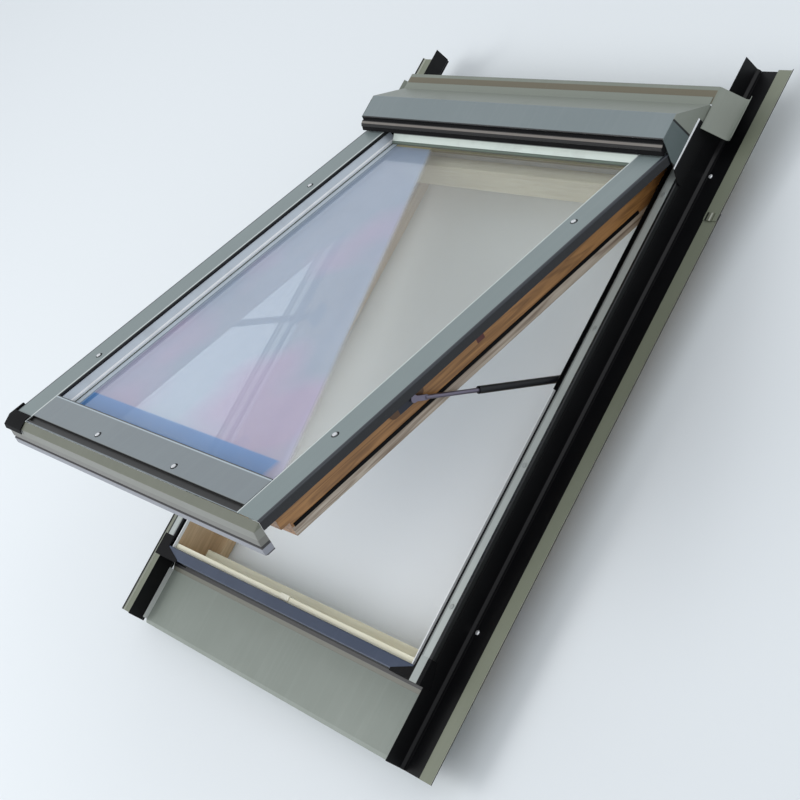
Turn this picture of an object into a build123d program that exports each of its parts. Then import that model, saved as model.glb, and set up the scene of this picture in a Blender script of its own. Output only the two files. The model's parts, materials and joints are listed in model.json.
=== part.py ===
from build123d import *
from math import atan2, cos, degrees, hypot, radians, sin
import os

os.makedirs("parts", exist_ok=True)

# Top hung roof window with its flashing, standing open
# All sizes are millimetres. The window is described in roof coordinates: x to the right from the
# middle, y up the slope from the lower outer edge of the frame, z out of the roof from the top of
# the frame covers. The sash has its own coordinates: x, d down the sash from the hinge axis, and
# h out of the sash from the hinge axis.

# Whole window
window_width = 780
window_length = 978
frame_depth = 98
opening_angle = 23.5

# Frame timber
frame_timber_top = -8
frame_cover_overlap = 2
frame_stile_width = 34
frame_lip_height = 20
frame_lip_width = 32
bottom_rail_width = 28
bottom_lip_width = 16
bottom_lip_top = -51
top_rail_width = 42
timber_edge_radius = 2

# Gap between frame and sash, where the stays lie
stay_gap = 16
hinge_to_top_rail = 7
hinge_z = -12
running_gap = 0.05
pivot_gap = 0.5

# Sash timber
sash_stile_width = 42
sash_timber_top = 5
sash_timber_bottom = -63
sash_top_gap = 2
sash_top_rail_width = 93
sash_bottom_rail_width = 64
sash_bottom_gap = 3
sash_step_height = -38
sash_step_width = 16
glass_rebate_top = -19
glass_edge_cover = 6
pane_thickness = 4
outer_pane_bottom = 2
spacer_width = 12
spacer_inset = 3
setting_gap = 0.3

# Sash covers
cover_thickness = 1.5
cover_top = 29
cover_skirt_bottom = 13
cover_overhang = 1
cover_flat = 58
cover_top_reach = 8
cover_top_flat = 70
cover_return = 5
skirt_start = 12
bottom_cover_lap = 31
bottom_cover_flat = 55
groove_width = 10
groove_depth = 4
nose_step = 5
cover_bend = 2.5
carrier_width = 17
carrier_wall = 2
bead_wall = 2
bead_top_gap = 7
bead_foot = 13
bead_lip = 3
bead_lip_height = 5
screw_head_radius = 4
screw_head_height = 1.6
screw_shank_radius = 1.8
screw_shank_length = 12
screw_hole_gap = 0.2

# Stays between frame and sash
stay_tube_radius = 6
stay_bore_radius = 4
stay_rod_radius = 3.5
stay_tube_start = 12
stay_tube_length = 180
stay_end_wall = 4
stay_rod_start = 111
stay_eye_radius = 6
stay_eye_thickness = 4
stay_pin_radius = 3
stay_foot_down = 404
stay_frame_z = -38
stay_sash_d = 622.5
stay_sash_h = -18
stay_plate_thickness = 1.4

# Frame covers
frame_cover_thickness = 1.2
jamb_cover_width = 25
jamb_cover_skirt = 14
bottom_cover_skirt = 16
bottom_cover_width = 20
frame_cover_bend = 2
gasket_height = 6
gasket_wall = 2.2

# Flashing
sheet_thickness = 1.0
sheet_bend = 1.5
gutter_gap = 0.3
gutter_top = -10
gutter_floor = -50
gutter_width = 45
gutter_bead = 8
flange_width = 30
flange_rise = 4
flange_hem = 5
apron_drop = 121
apron_side_inset = 1
apron_side_rise = 10
apron_upstand_lap = 6
apron_step = 14
apron_hem = 6
gutter_reach = 112
head_sheet_reach = 42
head_wing_start = 33
valley_bend = 8
flange_joint_down = 148
flange_lap = 12

# Hood over the hinge side
hood_overhang = 38
hood_top_z = 65
hood_flat = 46
hood_back_reach = 22
hood_back_z = 12
hood_foot = 14
hood_front_lip = 6
hood_seal_drop = 4
hood_lip_forward = 20
hood_end_gap = 1.2
hood_end_thickness = 1.8
wing_top_z = 21
wing_thickness = 1.5
wing_length = 90

# Lock in the middle of the lower rail
handle_length = 120
handle_from_end = 44
tongue_width = 20
tongue_thickness = 4
tongue_travel = 12
tongue_h = -50
keep_wall = 1.5
keep_gap = 1.5

# Fixing brackets to the roof battens
bracket_hole_reach = 30
bracket_hole_edge = 22
bracket_hole_radius = 3
bracket_thickness = 2.5
bracket_width = 40
bracket_seat = -58
bracket_y_low = 150
bracket_from_head = 148

# Sizes that follow from those above
half_width = window_width / 2
timber_half = half_width - frame_cover_overlap
frame_inner = timber_half - frame_stile_width
sash_half = frame_inner - stay_gap
sash_inner = sash_half - sash_stile_width
top_rail_y = window_length - frame_cover_overlap - top_rail_width
hinge_y = top_rail_y - hinge_to_top_rail
lip_inner_x = frame_inner - frame_lip_width
lip_z = -frame_depth + frame_lip_height
bottom_rail_y = frame_cover_overlap + bottom_rail_width
bottom_lip_y = bottom_rail_y + bottom_lip_width
sash_end_d = hinge_y - bottom_rail_y - sash_bottom_gap
step_end_d = sash_end_d - sash_step_width
bottom_cover_start = sash_end_d - bottom_cover_lap
handle_d = sash_end_d - handle_from_end
cover_half = half_width - cover_overhang
cover_inner = cover_half - cover_flat
cover_under = cover_top - cover_thickness
pane_half = sash_half - glass_edge_cover - 1
pane_start_d = cover_top_flat - cover_top_reach - 4
pane_end_d = bottom_cover_start + 3
outer_pane_top = outer_pane_bottom + pane_thickness
inner_pane_bottom = glass_rebate_top + setting_gap
inner_pane_top = inner_pane_bottom + pane_thickness
stay_x = frame_inner - stay_gap / 2
stay_frame_y = hinge_y - stay_foot_down
bracket_hole_x = half_width + bracket_hole_reach
hood_front_y = hinge_y - hood_overhang
hood_back_y = window_length + hood_back_reach
gutter_end = window_length + gutter_reach
head_sheet_end = window_length + head_sheet_reach
flange_joint_y = window_length - flange_joint_down
y_middle = (gutter_end - apron_drop - sheet_thickness) / 2

# Base planes
roof = Plane(origin=(0, -y_middle, frame_depth), x_dir=(1, 0, 0), z_dir=(0, 0, 1))
tilt = radians(opening_angle)
sash = Plane(
    origin=roof.from_local_coords((0, hinge_y, hinge_z)),
    x_dir=(1, 0, 0),
    z_dir=(0, sin(tilt), cos(tilt)),
)
out_of_sash = Axis(sash.origin, sash.z_dir)


def along(base, y):
    """Plane for a section of x and height, whose length runs down the slope from y"""
    return Plane(origin=base.from_local_coords((0, y, 0)), x_dir=base.x_dir, z_dir=-base.y_dir)


def across(base, x):
    """Plane for a section of y and height, whose length runs to the right from x"""
    return Plane(origin=base.from_local_coords((x, 0, 0)), x_dir=base.y_dir, z_dir=base.x_dir)


def level(base, height):
    """Plane for an outline of x and y, at a height over its base"""
    return Plane(origin=base.from_local_coords((0, 0, height)), x_dir=base.x_dir, z_dir=base.z_dir)


def outline(*points):
    """Closed face through the given corners, in the sketch that is open"""
    with BuildLine() as line:
        Polyline(*points, close=True)
    make_face(line.edges())


def folded(*points, thickness=sheet_thickness, side=Side.RIGHT, bend=sheet_bend):
    """Section of a folded sheet: its outer line with bends, and its thickness to one side of it"""
    with BuildLine() as line:
        FilletPolyline(*points, radius=bend)
        offset(amount=thickness, side=side, kind=Kind.INTERSECTION)
    make_face(line.edges())


def pressed(*points, thickness=sheet_thickness):
    """Section of a sheet with sharp bends: its outer line, and its thickness to the right of it"""
    with BuildLine() as line:
        Polyline(*points)
        offset(amount=thickness, side=Side.RIGHT, kind=Kind.INTERSECTION)
    make_face(line.edges())


def save(piece, name):
    """Label a piece and write it"""
    piece.part.label = name
    export_step(piece.part, "parts/" + name + ".step")


def save_pair(piece, name):
    """Write the right hand piece and its mirrored twin on the left"""
    save(piece, "right_" + name)
    with BuildPart() as twin:
        mirror(piece.part, about=Plane.YZ)
    save(twin, "left_" + name)


def save_both(piece, name):
    """Write the right hand piece and its mirrored twin as one group of separate solids"""
    with BuildPart() as group:
        add(piece.part)
        mirror(piece.part, about=Plane.YZ)
    save(group, name)


# Frame timber
with BuildPart() as frame_stile:
    with BuildSketch(along(roof, top_rail_y)) as section:
        outline(
            (frame_inner, frame_timber_top),
            (timber_half, frame_timber_top),
            (timber_half, -frame_depth),
            (lip_inner_x, -frame_depth),
            (lip_inner_x, lip_z),
            (frame_inner, lip_z),
        )
        fillet(section.vertices().group_by(Axis.X)[0], timber_edge_radius)
    extrude(amount=top_rail_y - bottom_rail_y)
save_pair(frame_stile, "frame_stile")

with BuildPart() as frame_top_rail:
    with BuildSketch(across(roof, -timber_half)) as section:
        outline(
            (top_rail_y, frame_timber_top),
            (top_rail_y + top_rail_width, frame_timber_top),
            (top_rail_y + top_rail_width, -frame_depth),
            (top_rail_y, -frame_depth),
        )
    extrude(amount=2 * timber_half)
    with BuildSketch(across(roof, -lip_inner_x)) as lip:
        outline(
            (top_rail_y, lip_z),
            (top_rail_y, -frame_depth),
            (top_rail_y - frame_lip_width, -frame_depth),
            (top_rail_y - frame_lip_width, lip_z),
        )
    extrude(amount=2 * lip_inner_x)
save(frame_top_rail, "frame_top_rail")

keep_half = tongue_width / 2 + keep_gap + keep_wall
keep_low = hinge_z + tongue_h - tongue_thickness / 2 - keep_gap - keep_wall
keep_high = hinge_z + tongue_h + tongue_thickness / 2 + keep_gap + keep_wall
keep_strap_y = bottom_rail_y + keep_wall
keep_tab_top = frame_timber_top + keep_wall
with BuildPart() as frame_bottom_rail:
    with BuildSketch(across(roof, -timber_half)) as section:
        outline(
            (frame_cover_overlap, frame_timber_top),
            (bottom_rail_y, frame_timber_top),
            (bottom_rail_y, -frame_depth),
            (frame_cover_overlap, -frame_depth),
        )
    extrude(amount=2 * timber_half)
    with BuildSketch(across(roof, -lip_inner_x)) as lip:
        outline(
            (bottom_rail_y, bottom_lip_top),
            (bottom_lip_y, bottom_lip_top),
            (bottom_lip_y, -frame_depth),
            (bottom_rail_y, -frame_depth),
        )
        fillet(lip.vertices().group_by(Axis.X)[-1], timber_edge_radius)
    extrude(amount=2 * lip_inner_x)
    with BuildSketch(across(roof, -keep_half)) as pocket:
        outline(
            (bottom_rail_y, keep_low),
            (bottom_lip_y + 1, keep_low),
            (bottom_lip_y + 1, keep_high),
            (keep_strap_y, keep_high),
            (keep_strap_y, bottom_lip_top + 1),
            (bottom_rail_y, bottom_lip_top + 1),
        )
    extrude(amount=2 * keep_half, mode=Mode.SUBTRACT)
save(frame_bottom_rail, "frame_bottom_rail")

# Covers and seals on the frame
with BuildPart() as jamb_cover:
    with BuildSketch(along(roof, window_length)) as section:
        folded(
            (half_width - jamb_cover_width, frame_timber_top),
            (half_width - jamb_cover_width, 0),
            (half_width, 0),
            (half_width, -jamb_cover_skirt),
            thickness=frame_cover_thickness,
            bend=frame_cover_bend,
        )
    extrude(amount=window_length - bottom_cover_width)
save_pair(jamb_cover, "jamb_cover")

with BuildPart() as frame_bottom_cover:
    with BuildSketch(across(roof, -half_width)) as section:
        folded(
            (0, -bottom_cover_skirt),
            (0, 0),
            (bottom_cover_width, 0),
            (bottom_cover_width, frame_timber_top),
            thickness=frame_cover_thickness,
            bend=frame_cover_bend,
        )
    extrude(amount=window_width)
save(frame_bottom_cover, "frame_bottom_cover")

gasket_outer = half_width - jamb_cover_width - running_gap
with BuildPart() as channel_gasket:
    with BuildSketch(along(roof, top_rail_y)) as section:
        outline(
            (frame_inner, frame_timber_top),
            (gasket_outer, frame_timber_top),
            (gasket_outer, frame_timber_top + gasket_height),
            (gasket_outer - gasket_wall, frame_timber_top + gasket_height),
            (gasket_outer - gasket_wall, frame_timber_top + gasket_wall),
            (frame_inner + gasket_wall, frame_timber_top + gasket_wall),
            (frame_inner + gasket_wall, frame_timber_top + gasket_height),
            (frame_inner, frame_timber_top + gasket_height),
        )
    extrude(amount=top_rail_y - bottom_cover_width)
save_both(channel_gasket, "channel_gaskets")

# Corner caps: a plate over the ends of the covers, a cheek outside and an apron in front
cap_length = 38
cap_width = 75
cap_skirt = 24
cap_wall = 2
cap_top = 0.5
cap_front_y = -sheet_thickness - setting_gap
cap_outer = half_width + gutter_gap + sheet_thickness + cap_wall
with BuildPart() as corner_cap:
    with BuildSketch(across(roof, cap_outer - cap_wall)) as cheek:
        outline(
            (cap_front_y - cap_wall, cap_top),
            (cap_length, cap_top),
            (cap_length, -cap_skirt / 2),
            (cap_wall, -cap_skirt),
            (cap_front_y - cap_wall, -cap_skirt),
        )
    extrude(amount=cap_wall)
    with BuildSketch(level(roof, 0)) as plate:
        outline(
            (cap_outer, cap_front_y - cap_wall),
            (cap_outer, cap_length),
            (half_width - jamb_cover_width, cap_length),
            (half_width - jamb_cover_width - cap_wall, bottom_cover_width - cap_wall),
            (cap_outer - cap_width, cap_wall),
            (cap_outer - cap_width, cap_front_y - cap_wall),
        )
    extrude(amount=cap_top)
    with BuildSketch(across(roof, cap_outer - cap_width)) as front:
        outline(
            (cap_front_y - cap_wall, 0),
            (cap_front_y, 0),
            (cap_front_y, -cap_skirt),
            (cap_front_y - cap_wall, -cap_skirt),
        )
    extrude(amount=half_width - cap_outer + cap_width)
save_both(corner_cap, "frame_corner_caps")

frame_screw_first = 120
frame_screw_count = 4
frame_screw_step = (window_length - frame_screw_first - flange_joint_down) / (frame_screw_count - 1)
frame_screw_y = [frame_screw_first + i * frame_screw_step for i in range(frame_screw_count)]
frame_screw_x = half_width - jamb_cover_width / 2
with BuildPart() as frame_screws:
    for side_sign in (-1, 1):
        for y in frame_screw_y:
            with BuildSketch(level(roof, 0)) as head:
                with Locations((side_sign * frame_screw_x, y)):
                    Circle(screw_head_radius)
            extrude(amount=screw_head_height)
    fillet(frame_screws.faces().sort_by(Axis.Z)[-1].edges(), 0.4)
save(frame_screws, "frame_screws")

# Striker for the lock, let into the lip of the lower rail, with a strap over the rail
with BuildPart() as lock_keep:
    with BuildSketch(across(roof, -keep_half)) as section:
        outline(
            (bottom_rail_y, keep_low),
            (bottom_lip_y, keep_low),
            (bottom_lip_y, keep_high),
            (keep_strap_y, keep_high),
            (keep_strap_y, keep_tab_top),
            (bottom_cover_width + keep_wall, keep_tab_top),
            (bottom_cover_width + keep_wall, frame_timber_top),
            (bottom_rail_y, frame_timber_top),
        )
    extrude(amount=2 * keep_half)
    with BuildSketch(across(roof, -keep_half + keep_wall)) as pocket:
        outline(
            (keep_strap_y, keep_low + keep_wall),
            (bottom_lip_y + 1, keep_low + keep_wall),
            (bottom_lip_y + 1, keep_high - keep_wall),
            (keep_strap_y, keep_high - keep_wall),
        )
    extrude(amount=2 * (keep_half - keep_wall), mode=Mode.SUBTRACT)
save(lock_keep, "lock_keep")

# Hinges: a plate with a bore on the frame, a plate with a pin on the sash
hinge_pin_radius = 4
hinge_plate_thickness = 5
hinge_eye_wall = 4
frame_eye_wall = 0.7
sash_eye_wall = 0.8
frame_plate_reach = 26
with BuildPart() as hinge_plate:
    with BuildSketch(across(roof, frame_inner - hinge_plate_thickness)) as plate:
        with Locations((hinge_y, hinge_z)):
            Circle(hinge_pin_radius + frame_eye_wall)
        outline(
            (hinge_y - frame_plate_reach, hinge_z + hinge_eye_wall),
            (hinge_y, hinge_z + hinge_pin_radius + frame_eye_wall),
            (hinge_y, hinge_z - frame_plate_reach),
            (hinge_y - frame_plate_reach, hinge_z - frame_plate_reach),
        )
    extrude(amount=hinge_plate_thickness)
    with BuildSketch(across(roof, frame_inner - hinge_plate_thickness)) as bore:
        with Locations((hinge_y, hinge_z)):
            Circle(hinge_pin_radius + running_gap)
    extrude(amount=hinge_plate_thickness, mode=Mode.SUBTRACT)
save_both(hinge_plate, "frame_hinge_plates")

sash_plate_thickness = 3
sash_plate_length = 60
sash_eye_radius = hinge_pin_radius + sash_eye_wall
with BuildPart() as hinge_pin:
    with BuildSketch(across(sash, sash_half)) as plate:
        Circle(sash_eye_radius)
        outline(
            (0, sash_eye_radius),
            (0, -sash_eye_radius),
            (-sash_plate_length, -sash_eye_radius),
            (-sash_plate_length, sash_eye_radius),
        )
    extrude(amount=sash_plate_thickness)
    with BuildSketch(across(sash, sash_half + sash_plate_thickness)) as pin:
        Circle(hinge_pin_radius)
    extrude(amount=stay_gap - sash_plate_thickness - screw_hole_gap)
save_both(hinge_pin, "sash_hinge_pins")

# Stays: a tube on the frame and a rod on the sash
sash_eye = (
    hinge_y - stay_sash_d * cos(tilt) + stay_sash_h * sin(tilt),
    hinge_z + stay_sash_d * sin(tilt) + stay_sash_h * cos(tilt),
)
stay_length = hypot(sash_eye[0] - stay_frame_y, sash_eye[1] - stay_frame_z)
stay_angle = atan2(sash_eye[1] - stay_frame_z, sash_eye[0] - stay_frame_y)
stay_start = roof.from_local_coords((stay_x, stay_frame_y, stay_frame_z))
stay_dir = (0, cos(stay_angle), sin(stay_angle))
stay_side = Plane(origin=stay_start, x_dir=stay_dir, z_dir=(1, 0, 0))
stay_axis = Plane(origin=stay_start, x_dir=(1, 0, 0), z_dir=stay_dir)

with BuildPart() as stay_tube:
    with BuildSketch(stay_axis.offset(stay_tube_start)) as wall:
        Circle(stay_tube_radius)
    extrude(amount=stay_tube_length)
    with BuildSketch(stay_axis.offset(stay_tube_start + stay_end_wall)) as bore:
        Circle(stay_bore_radius)
    extrude(amount=stay_tube_length, mode=Mode.SUBTRACT)
    with BuildSketch(stay_side.offset(-stay_eye_thickness / 2)) as eye:
        Circle(stay_eye_radius)
        with Locations((stay_tube_start / 2 + 1, 0)):
            Rectangle(stay_tube_start + 2, 1.4 * stay_eye_radius)
    extrude(amount=stay_eye_thickness)
    with BuildSketch(stay_side.offset(-stay_eye_thickness / 2)) as pin_hole:
        Circle(stay_pin_radius + running_gap)
    extrude(amount=stay_eye_thickness, mode=Mode.SUBTRACT)
save_pair(stay_tube, "stay_tube")

flat_end_length = 24
with BuildPart() as stay_rod:
    with BuildSketch(stay_axis.offset(stay_rod_start)) as rod:
        Circle(stay_rod_radius)
    extrude(amount=stay_length - stay_rod_start - flat_end_length + 4)
    with BuildSketch(stay_side.offset(-stay_eye_thickness / 2)) as flat_end:
        with Locations((stay_length, 0)):
            Circle(stay_eye_radius)
        with Locations((stay_length - flat_end_length / 2, 0)):
            Rectangle(flat_end_length, 1.4 * stay_eye_radius)
    extrude(amount=stay_eye_thickness)
    pin_reach = stay_gap / 2 - stay_plate_thickness - pivot_gap - stay_eye_thickness / 2
    with BuildSketch(stay_side.offset(-stay_eye_thickness / 2)) as pin:
        with Locations((stay_length, 0)):
            Circle(stay_pin_radius)
    extrude(amount=-pin_reach)
save_pair(stay_rod, "stay_rod")

stay_plate_reach = 10
with BuildPart() as frame_stay_bracket:
    with BuildSketch(across(roof, frame_inner - stay_plate_thickness)) as plate:
        with Locations((stay_frame_y, stay_frame_z)):
            SlotOverall(5 * stay_plate_reach, 2 * stay_plate_reach)
    extrude(amount=stay_plate_thickness)
    pin_length = stay_gap / 2 - stay_plate_thickness + stay_eye_thickness / 2 + 1
    with BuildSketch(across(roof, frame_inner - stay_plate_thickness - pin_length)) as pin:
        with Locations((stay_frame_y, stay_frame_z)):
            Circle(stay_pin_radius)
    extrude(amount=pin_length)
save_both(frame_stay_bracket, "frame_stay_brackets")

with BuildPart() as sash_stay_bracket:
    with BuildSketch(across(sash, sash_half)) as plate:
        with Locations((-stay_sash_d - stay_plate_reach, stay_sash_h)):
            SlotOverall(7 * stay_plate_reach, 2 * stay_plate_reach)
    extrude(amount=stay_plate_thickness)
save_both(sash_stay_bracket, "sash_stay_brackets")

# Sash timber
with BuildPart() as sash_stile:
    with BuildSketch(along(sash, -sash_top_gap)) as section:
        outline(
            (sash_inner, sash_timber_bottom),
            (sash_half, sash_timber_bottom),
            (sash_half, sash_timber_top),
            (sash_half - glass_edge_cover, sash_timber_top),
            (sash_half - glass_edge_cover, glass_rebate_top),
            (sash_inner, glass_rebate_top),
        )
        fillet(section.vertices().group_by(Axis.X)[0], timber_edge_radius)
    extrude(amount=sash_end_d - sash_top_gap)
    with BuildSketch(across(sash, sash_inner - 1)) as step:
        outline(
            (-step_end_d, sash_timber_bottom - 1),
            (-sash_end_d - 1, sash_timber_bottom - 1),
            (-sash_end_d - 1, sash_step_height),
            (-step_end_d, sash_step_height),
        )
    extrude(amount=sash_stile_width + 2, mode=Mode.SUBTRACT)
save_pair(sash_stile, "sash_stile")

rail_rebate_d = pane_start_d - 1
with BuildPart() as sash_top_rail:
    with BuildSketch(across(sash, -sash_inner)) as section:
        outline(
            (-sash_top_gap, sash_timber_bottom),
            (-sash_top_gap, sash_timber_top),
            (-rail_rebate_d, sash_timber_top),
            (-rail_rebate_d, glass_rebate_top),
            (-sash_top_gap - sash_top_rail_width, glass_rebate_top),
            (-sash_top_gap - sash_top_rail_width, sash_timber_bottom),
        )
        fillet(section.vertices().group_by(Axis.X)[0], timber_edge_radius)
    extrude(amount=2 * sash_inner)
save(sash_top_rail, "sash_top_rail")

tongue_slot_length = 40
with BuildPart() as sash_bottom_rail:
    with BuildSketch(across(sash, -sash_inner)) as section:
        outline(
            (-sash_end_d + sash_bottom_rail_width, sash_timber_bottom),
            (-sash_end_d + sash_bottom_rail_width, glass_rebate_top),
            (-pane_end_d - 1, glass_rebate_top),
            (-pane_end_d - 1, sash_timber_top),
            (-sash_end_d, sash_timber_top),
            (-sash_end_d, sash_step_height),
            (-step_end_d, sash_step_height),
            (-step_end_d, sash_timber_bottom),
        )
    extrude(amount=2 * sash_inner)
    with BuildSketch(across(sash, -tongue_width / 2 - setting_gap)) as tongue_slot:
        outline(
            (-step_end_d + tongue_slot_length, tongue_h - tongue_thickness / 2 - setting_gap),
            (-step_end_d - 1, tongue_h - tongue_thickness / 2 - setting_gap),
            (-step_end_d - 1, tongue_h + tongue_thickness / 2 + setting_gap),
            (-step_end_d + tongue_slot_length, tongue_h + tongue_thickness / 2 + setting_gap),
        )
    extrude(amount=tongue_width + 2 * setting_gap, mode=Mode.SUBTRACT)
save(sash_bottom_rail, "sash_bottom_rail")

# Glass unit
for name, low in (("outer_pane", outer_pane_bottom), ("inner_pane", inner_pane_bottom)):
    with BuildPart() as pane:
        with BuildSketch(level(sash, low)) as sheet:
            with Locations((0, -(pane_start_d + pane_end_d) / 2)):
                Rectangle(2 * pane_half, pane_end_d - pane_start_d)
        extrude(amount=pane_thickness)
    save(pane, name)

with BuildPart() as pane_spacer:
    with BuildSketch(level(sash, inner_pane_top)) as ring:
        with Locations((0, -(pane_start_d + pane_end_d) / 2)):
            outer_width = 2 * (pane_half - spacer_inset)
            outer_length = pane_end_d - pane_start_d - 2 * spacer_inset
            Rectangle(outer_width, outer_length)
            Rectangle(outer_width - 2 * spacer_width, outer_length - 2 * spacer_width, mode=Mode.SUBTRACT)
    extrude(amount=outer_pane_bottom - inner_pane_top)
save(pane_spacer, "pane_spacer")

# Glazing beads on the pane's edges, under the inner edges of the covers
bead_top = cover_top - bead_top_gap
bead_end_d = bottom_cover_start
bead_start_d = cover_top_flat - cover_top_reach
with BuildPart() as glazing_bead:
    with BuildSketch(along(sash, -bead_start_d)) as section:
        outline(
            (cover_inner - bead_foot, outer_pane_top),
            (cover_inner + bead_wall, outer_pane_top),
            (cover_inner + bead_wall, bead_top),
            (cover_inner, bead_top),
            (cover_inner - bead_foot + bead_lip, outer_pane_top + bead_lip_height),
            (cover_inner - bead_foot, outer_pane_top + bead_lip_height),
        )
    extrude(amount=bead_end_d - bead_start_d)
save_pair(glazing_bead, "glazing_bead")

with BuildPart() as top_glazing_bead:
    with BuildSketch(across(sash, -cover_inner + bead_foot)) as section:
        outline(
            (-bead_start_d - bead_foot, outer_pane_top),
            (-bead_start_d + bead_wall, outer_pane_top),
            (-bead_start_d + bead_wall, bead_top),
            (-bead_start_d, bead_top),
            (-bead_start_d - bead_foot + bead_lip, outer_pane_top + bead_lip_height),
            (-bead_start_d - bead_foot, outer_pane_top + bead_lip_height),
        )
    extrude(amount=2 * (cover_inner - bead_foot))
save(top_glazing_bead, "top_glazing_bead")

with BuildPart() as bottom_glazing_bead:
    with BuildSketch(across(sash, -cover_inner - bead_wall)) as section:
        outline(
            (-bead_end_d, outer_pane_top),
            (-bead_end_d - bead_wall, outer_pane_top),
            (-bead_end_d - bead_wall, bead_top),
            (-bead_end_d, bead_top),
        )
    extrude(amount=2 * (cover_inner + bead_wall))
save(bottom_glazing_bead, "bottom_glazing_bead")

# Screws that hold the covers, and their places as x and d
side_screw_inset = 36
side_screw_from_hinge = 250
side_screw_from_end = 134
bottom_screw_inset = 13
bottom_screw_x = 120
side_screw_x = cover_half - side_screw_inset
side_screw_d = (side_screw_from_hinge, sash_end_d - side_screw_from_end)
bottom_screw_d = bottom_cover_start + bottom_cover_flat - bottom_screw_inset
side_screws = [(s * side_screw_x, -d) for s in (-1, 1) for d in side_screw_d]
bottom_screws = [(s * bottom_screw_x, -bottom_screw_d) for s in (-1, 1)]
screw_hole_radius = screw_shank_radius + screw_hole_gap

# Rails that the covers are fixed to
carrier_inner = cover_inner + bead_wall + 1
carrier_outer = carrier_inner + carrier_width
carrier_length = sash_end_d - sash_top_gap
with BuildPart() as side_carrier:
    with BuildSketch(along(sash, -sash_top_gap)) as section:
        outline(
            (carrier_inner, sash_timber_top),
            (carrier_outer, sash_timber_top),
            (carrier_outer, cover_under),
            (carrier_inner, cover_under),
        )
        with Locations(((carrier_inner + carrier_outer) / 2, (sash_timber_top + cover_under) / 2)):
            Rectangle(
                carrier_width - 2 * carrier_wall,
                cover_under - sash_timber_top - 2 * carrier_wall,
                mode=Mode.SUBTRACT,
            )
    extrude(amount=carrier_length)
    with BuildSketch(level(sash, cover_under)) as holes:
        with Locations(*side_screws):
            Circle(screw_hole_radius)
    extrude(amount=-screw_shank_length, mode=Mode.SUBTRACT)

bottom_carrier_top_d = bottom_cover_start + bead_wall + 1
bottom_carrier_reach = 20
carrier_foot_h = cover_skirt_bottom + 1
carrier_step_h = cover_under - groove_depth - 1
carrier_step_d = bottom_cover_start + bottom_cover_flat - carrier_wall
with BuildPart() as bottom_cover_carrier:
    with BuildSketch(across(sash, -cover_inner)) as section:
        outline(
            (-bottom_carrier_top_d, sash_timber_top),
            (-sash_end_d, sash_timber_top),
            (-sash_end_d, carrier_foot_h),
            (-sash_end_d - bottom_carrier_reach, carrier_foot_h),
            (-sash_end_d - bottom_carrier_reach, carrier_step_h),
            (-carrier_step_d, carrier_step_h),
            (-carrier_step_d, cover_under),
            (-bottom_carrier_top_d, cover_under),
        )
    extrude(amount=2 * cover_inner)
    with BuildSketch(level(sash, cover_under)) as holes:
        with Locations(*bottom_screws):
            Circle(screw_hole_radius)
    extrude(amount=-screw_shank_length, mode=Mode.SUBTRACT)

with BuildPart() as cover_carriers:
    add(side_carrier.part)
    mirror(side_carrier.part, about=Plane.YZ)
    add(bottom_cover_carrier.part)
save(cover_carriers, "cover_carriers")

# Sash covers, folded from sheet
nose_d = bottom_cover_start + bottom_cover_flat + groove_width
side_cover_end = nose_d + nose_step
with BuildPart() as side_cover:
    with BuildSketch(along(sash, cover_top_reach)) as section:
        folded(
            (cover_inner, cover_top - cover_return),
            (cover_inner, cover_top),
            (cover_half, cover_top),
            (cover_half, cover_skirt_bottom),
            thickness=cover_thickness,
            bend=cover_bend,
        )
    extrude(amount=side_cover_end + cover_top_reach)
    with BuildSketch(across(sash, cover_half - cover_return)) as skirt_end:
        outline(
            (cover_top_reach + 1, cover_under - cover_thickness),
            (-skirt_start, cover_under - cover_thickness),
            (-skirt_start, cover_skirt_bottom - 1),
            (cover_top_reach + 1, cover_skirt_bottom - 1),
        )
    extrude(amount=2 * cover_return, mode=Mode.SUBTRACT)
    with BuildSketch(level(sash, cover_top)) as holes:
        with Locations(*side_screws):
            Circle(screw_hole_radius)
    extrude(amount=-2 * cover_thickness, mode=Mode.SUBTRACT)
save_pair(side_cover, "sash_cover")

with BuildPart() as top_sash_cover:
    with BuildSketch(across(sash, -cover_inner)) as section:
        folded(
            (-cover_top_flat + cover_top_reach, cover_top - cover_return),
            (-cover_top_flat + cover_top_reach, cover_top),
            (cover_top_reach, cover_top),
            (cover_top_reach, cover_top - 2 * cover_return),
            thickness=cover_thickness,
            bend=cover_bend,
        )
    extrude(amount=2 * cover_inner)
save(top_sash_cover, "top_sash_cover")

groove_d = bottom_cover_start + bottom_cover_flat
with BuildPart() as bottom_sash_cover:
    with BuildSketch(across(sash, -cover_inner)) as section:
        pressed(
            (-side_cover_end, cover_top - 1),
            (-nose_d, cover_top - 1),
            (-nose_d, cover_top - groove_depth),
            (-groove_d, cover_top - groove_depth),
            (-groove_d, cover_top),
            (-bottom_cover_start, cover_top),
            (-bottom_cover_start, cover_top - cover_return),
            thickness=cover_thickness,
        )
    extrude(amount=2 * cover_inner)
    with BuildSketch(level(sash, cover_top)) as holes:
        with Locations(*bottom_screws):
            Circle(screw_hole_radius)
    extrude(amount=-2 * cover_thickness, mode=Mode.SUBTRACT)
save(bottom_sash_cover, "bottom_sash_cover")

# Nose below the groove: a sloping facet, an upright one, a small undercut and a lip, as reach
# down the sash and height from the end of the covers
nose_facets = ((1, 0), (14, -7), (16, -31), (13, -33), (17, -35), (17, -46), (13, -48))
nose_top = cover_top - 1
nose_points = [(-side_cover_end - reach, nose_top + up) for reach, up in nose_facets]
nose_end_thickness = 2
nose_half = cover_half - nose_end_thickness
with BuildPart() as sash_nose:
    with BuildSketch(across(sash, -nose_half)) as section:
        pressed(*reversed(nose_points), thickness=cover_thickness)
    extrude(amount=2 * nose_half)
save(sash_nose, "sash_nose")

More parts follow.
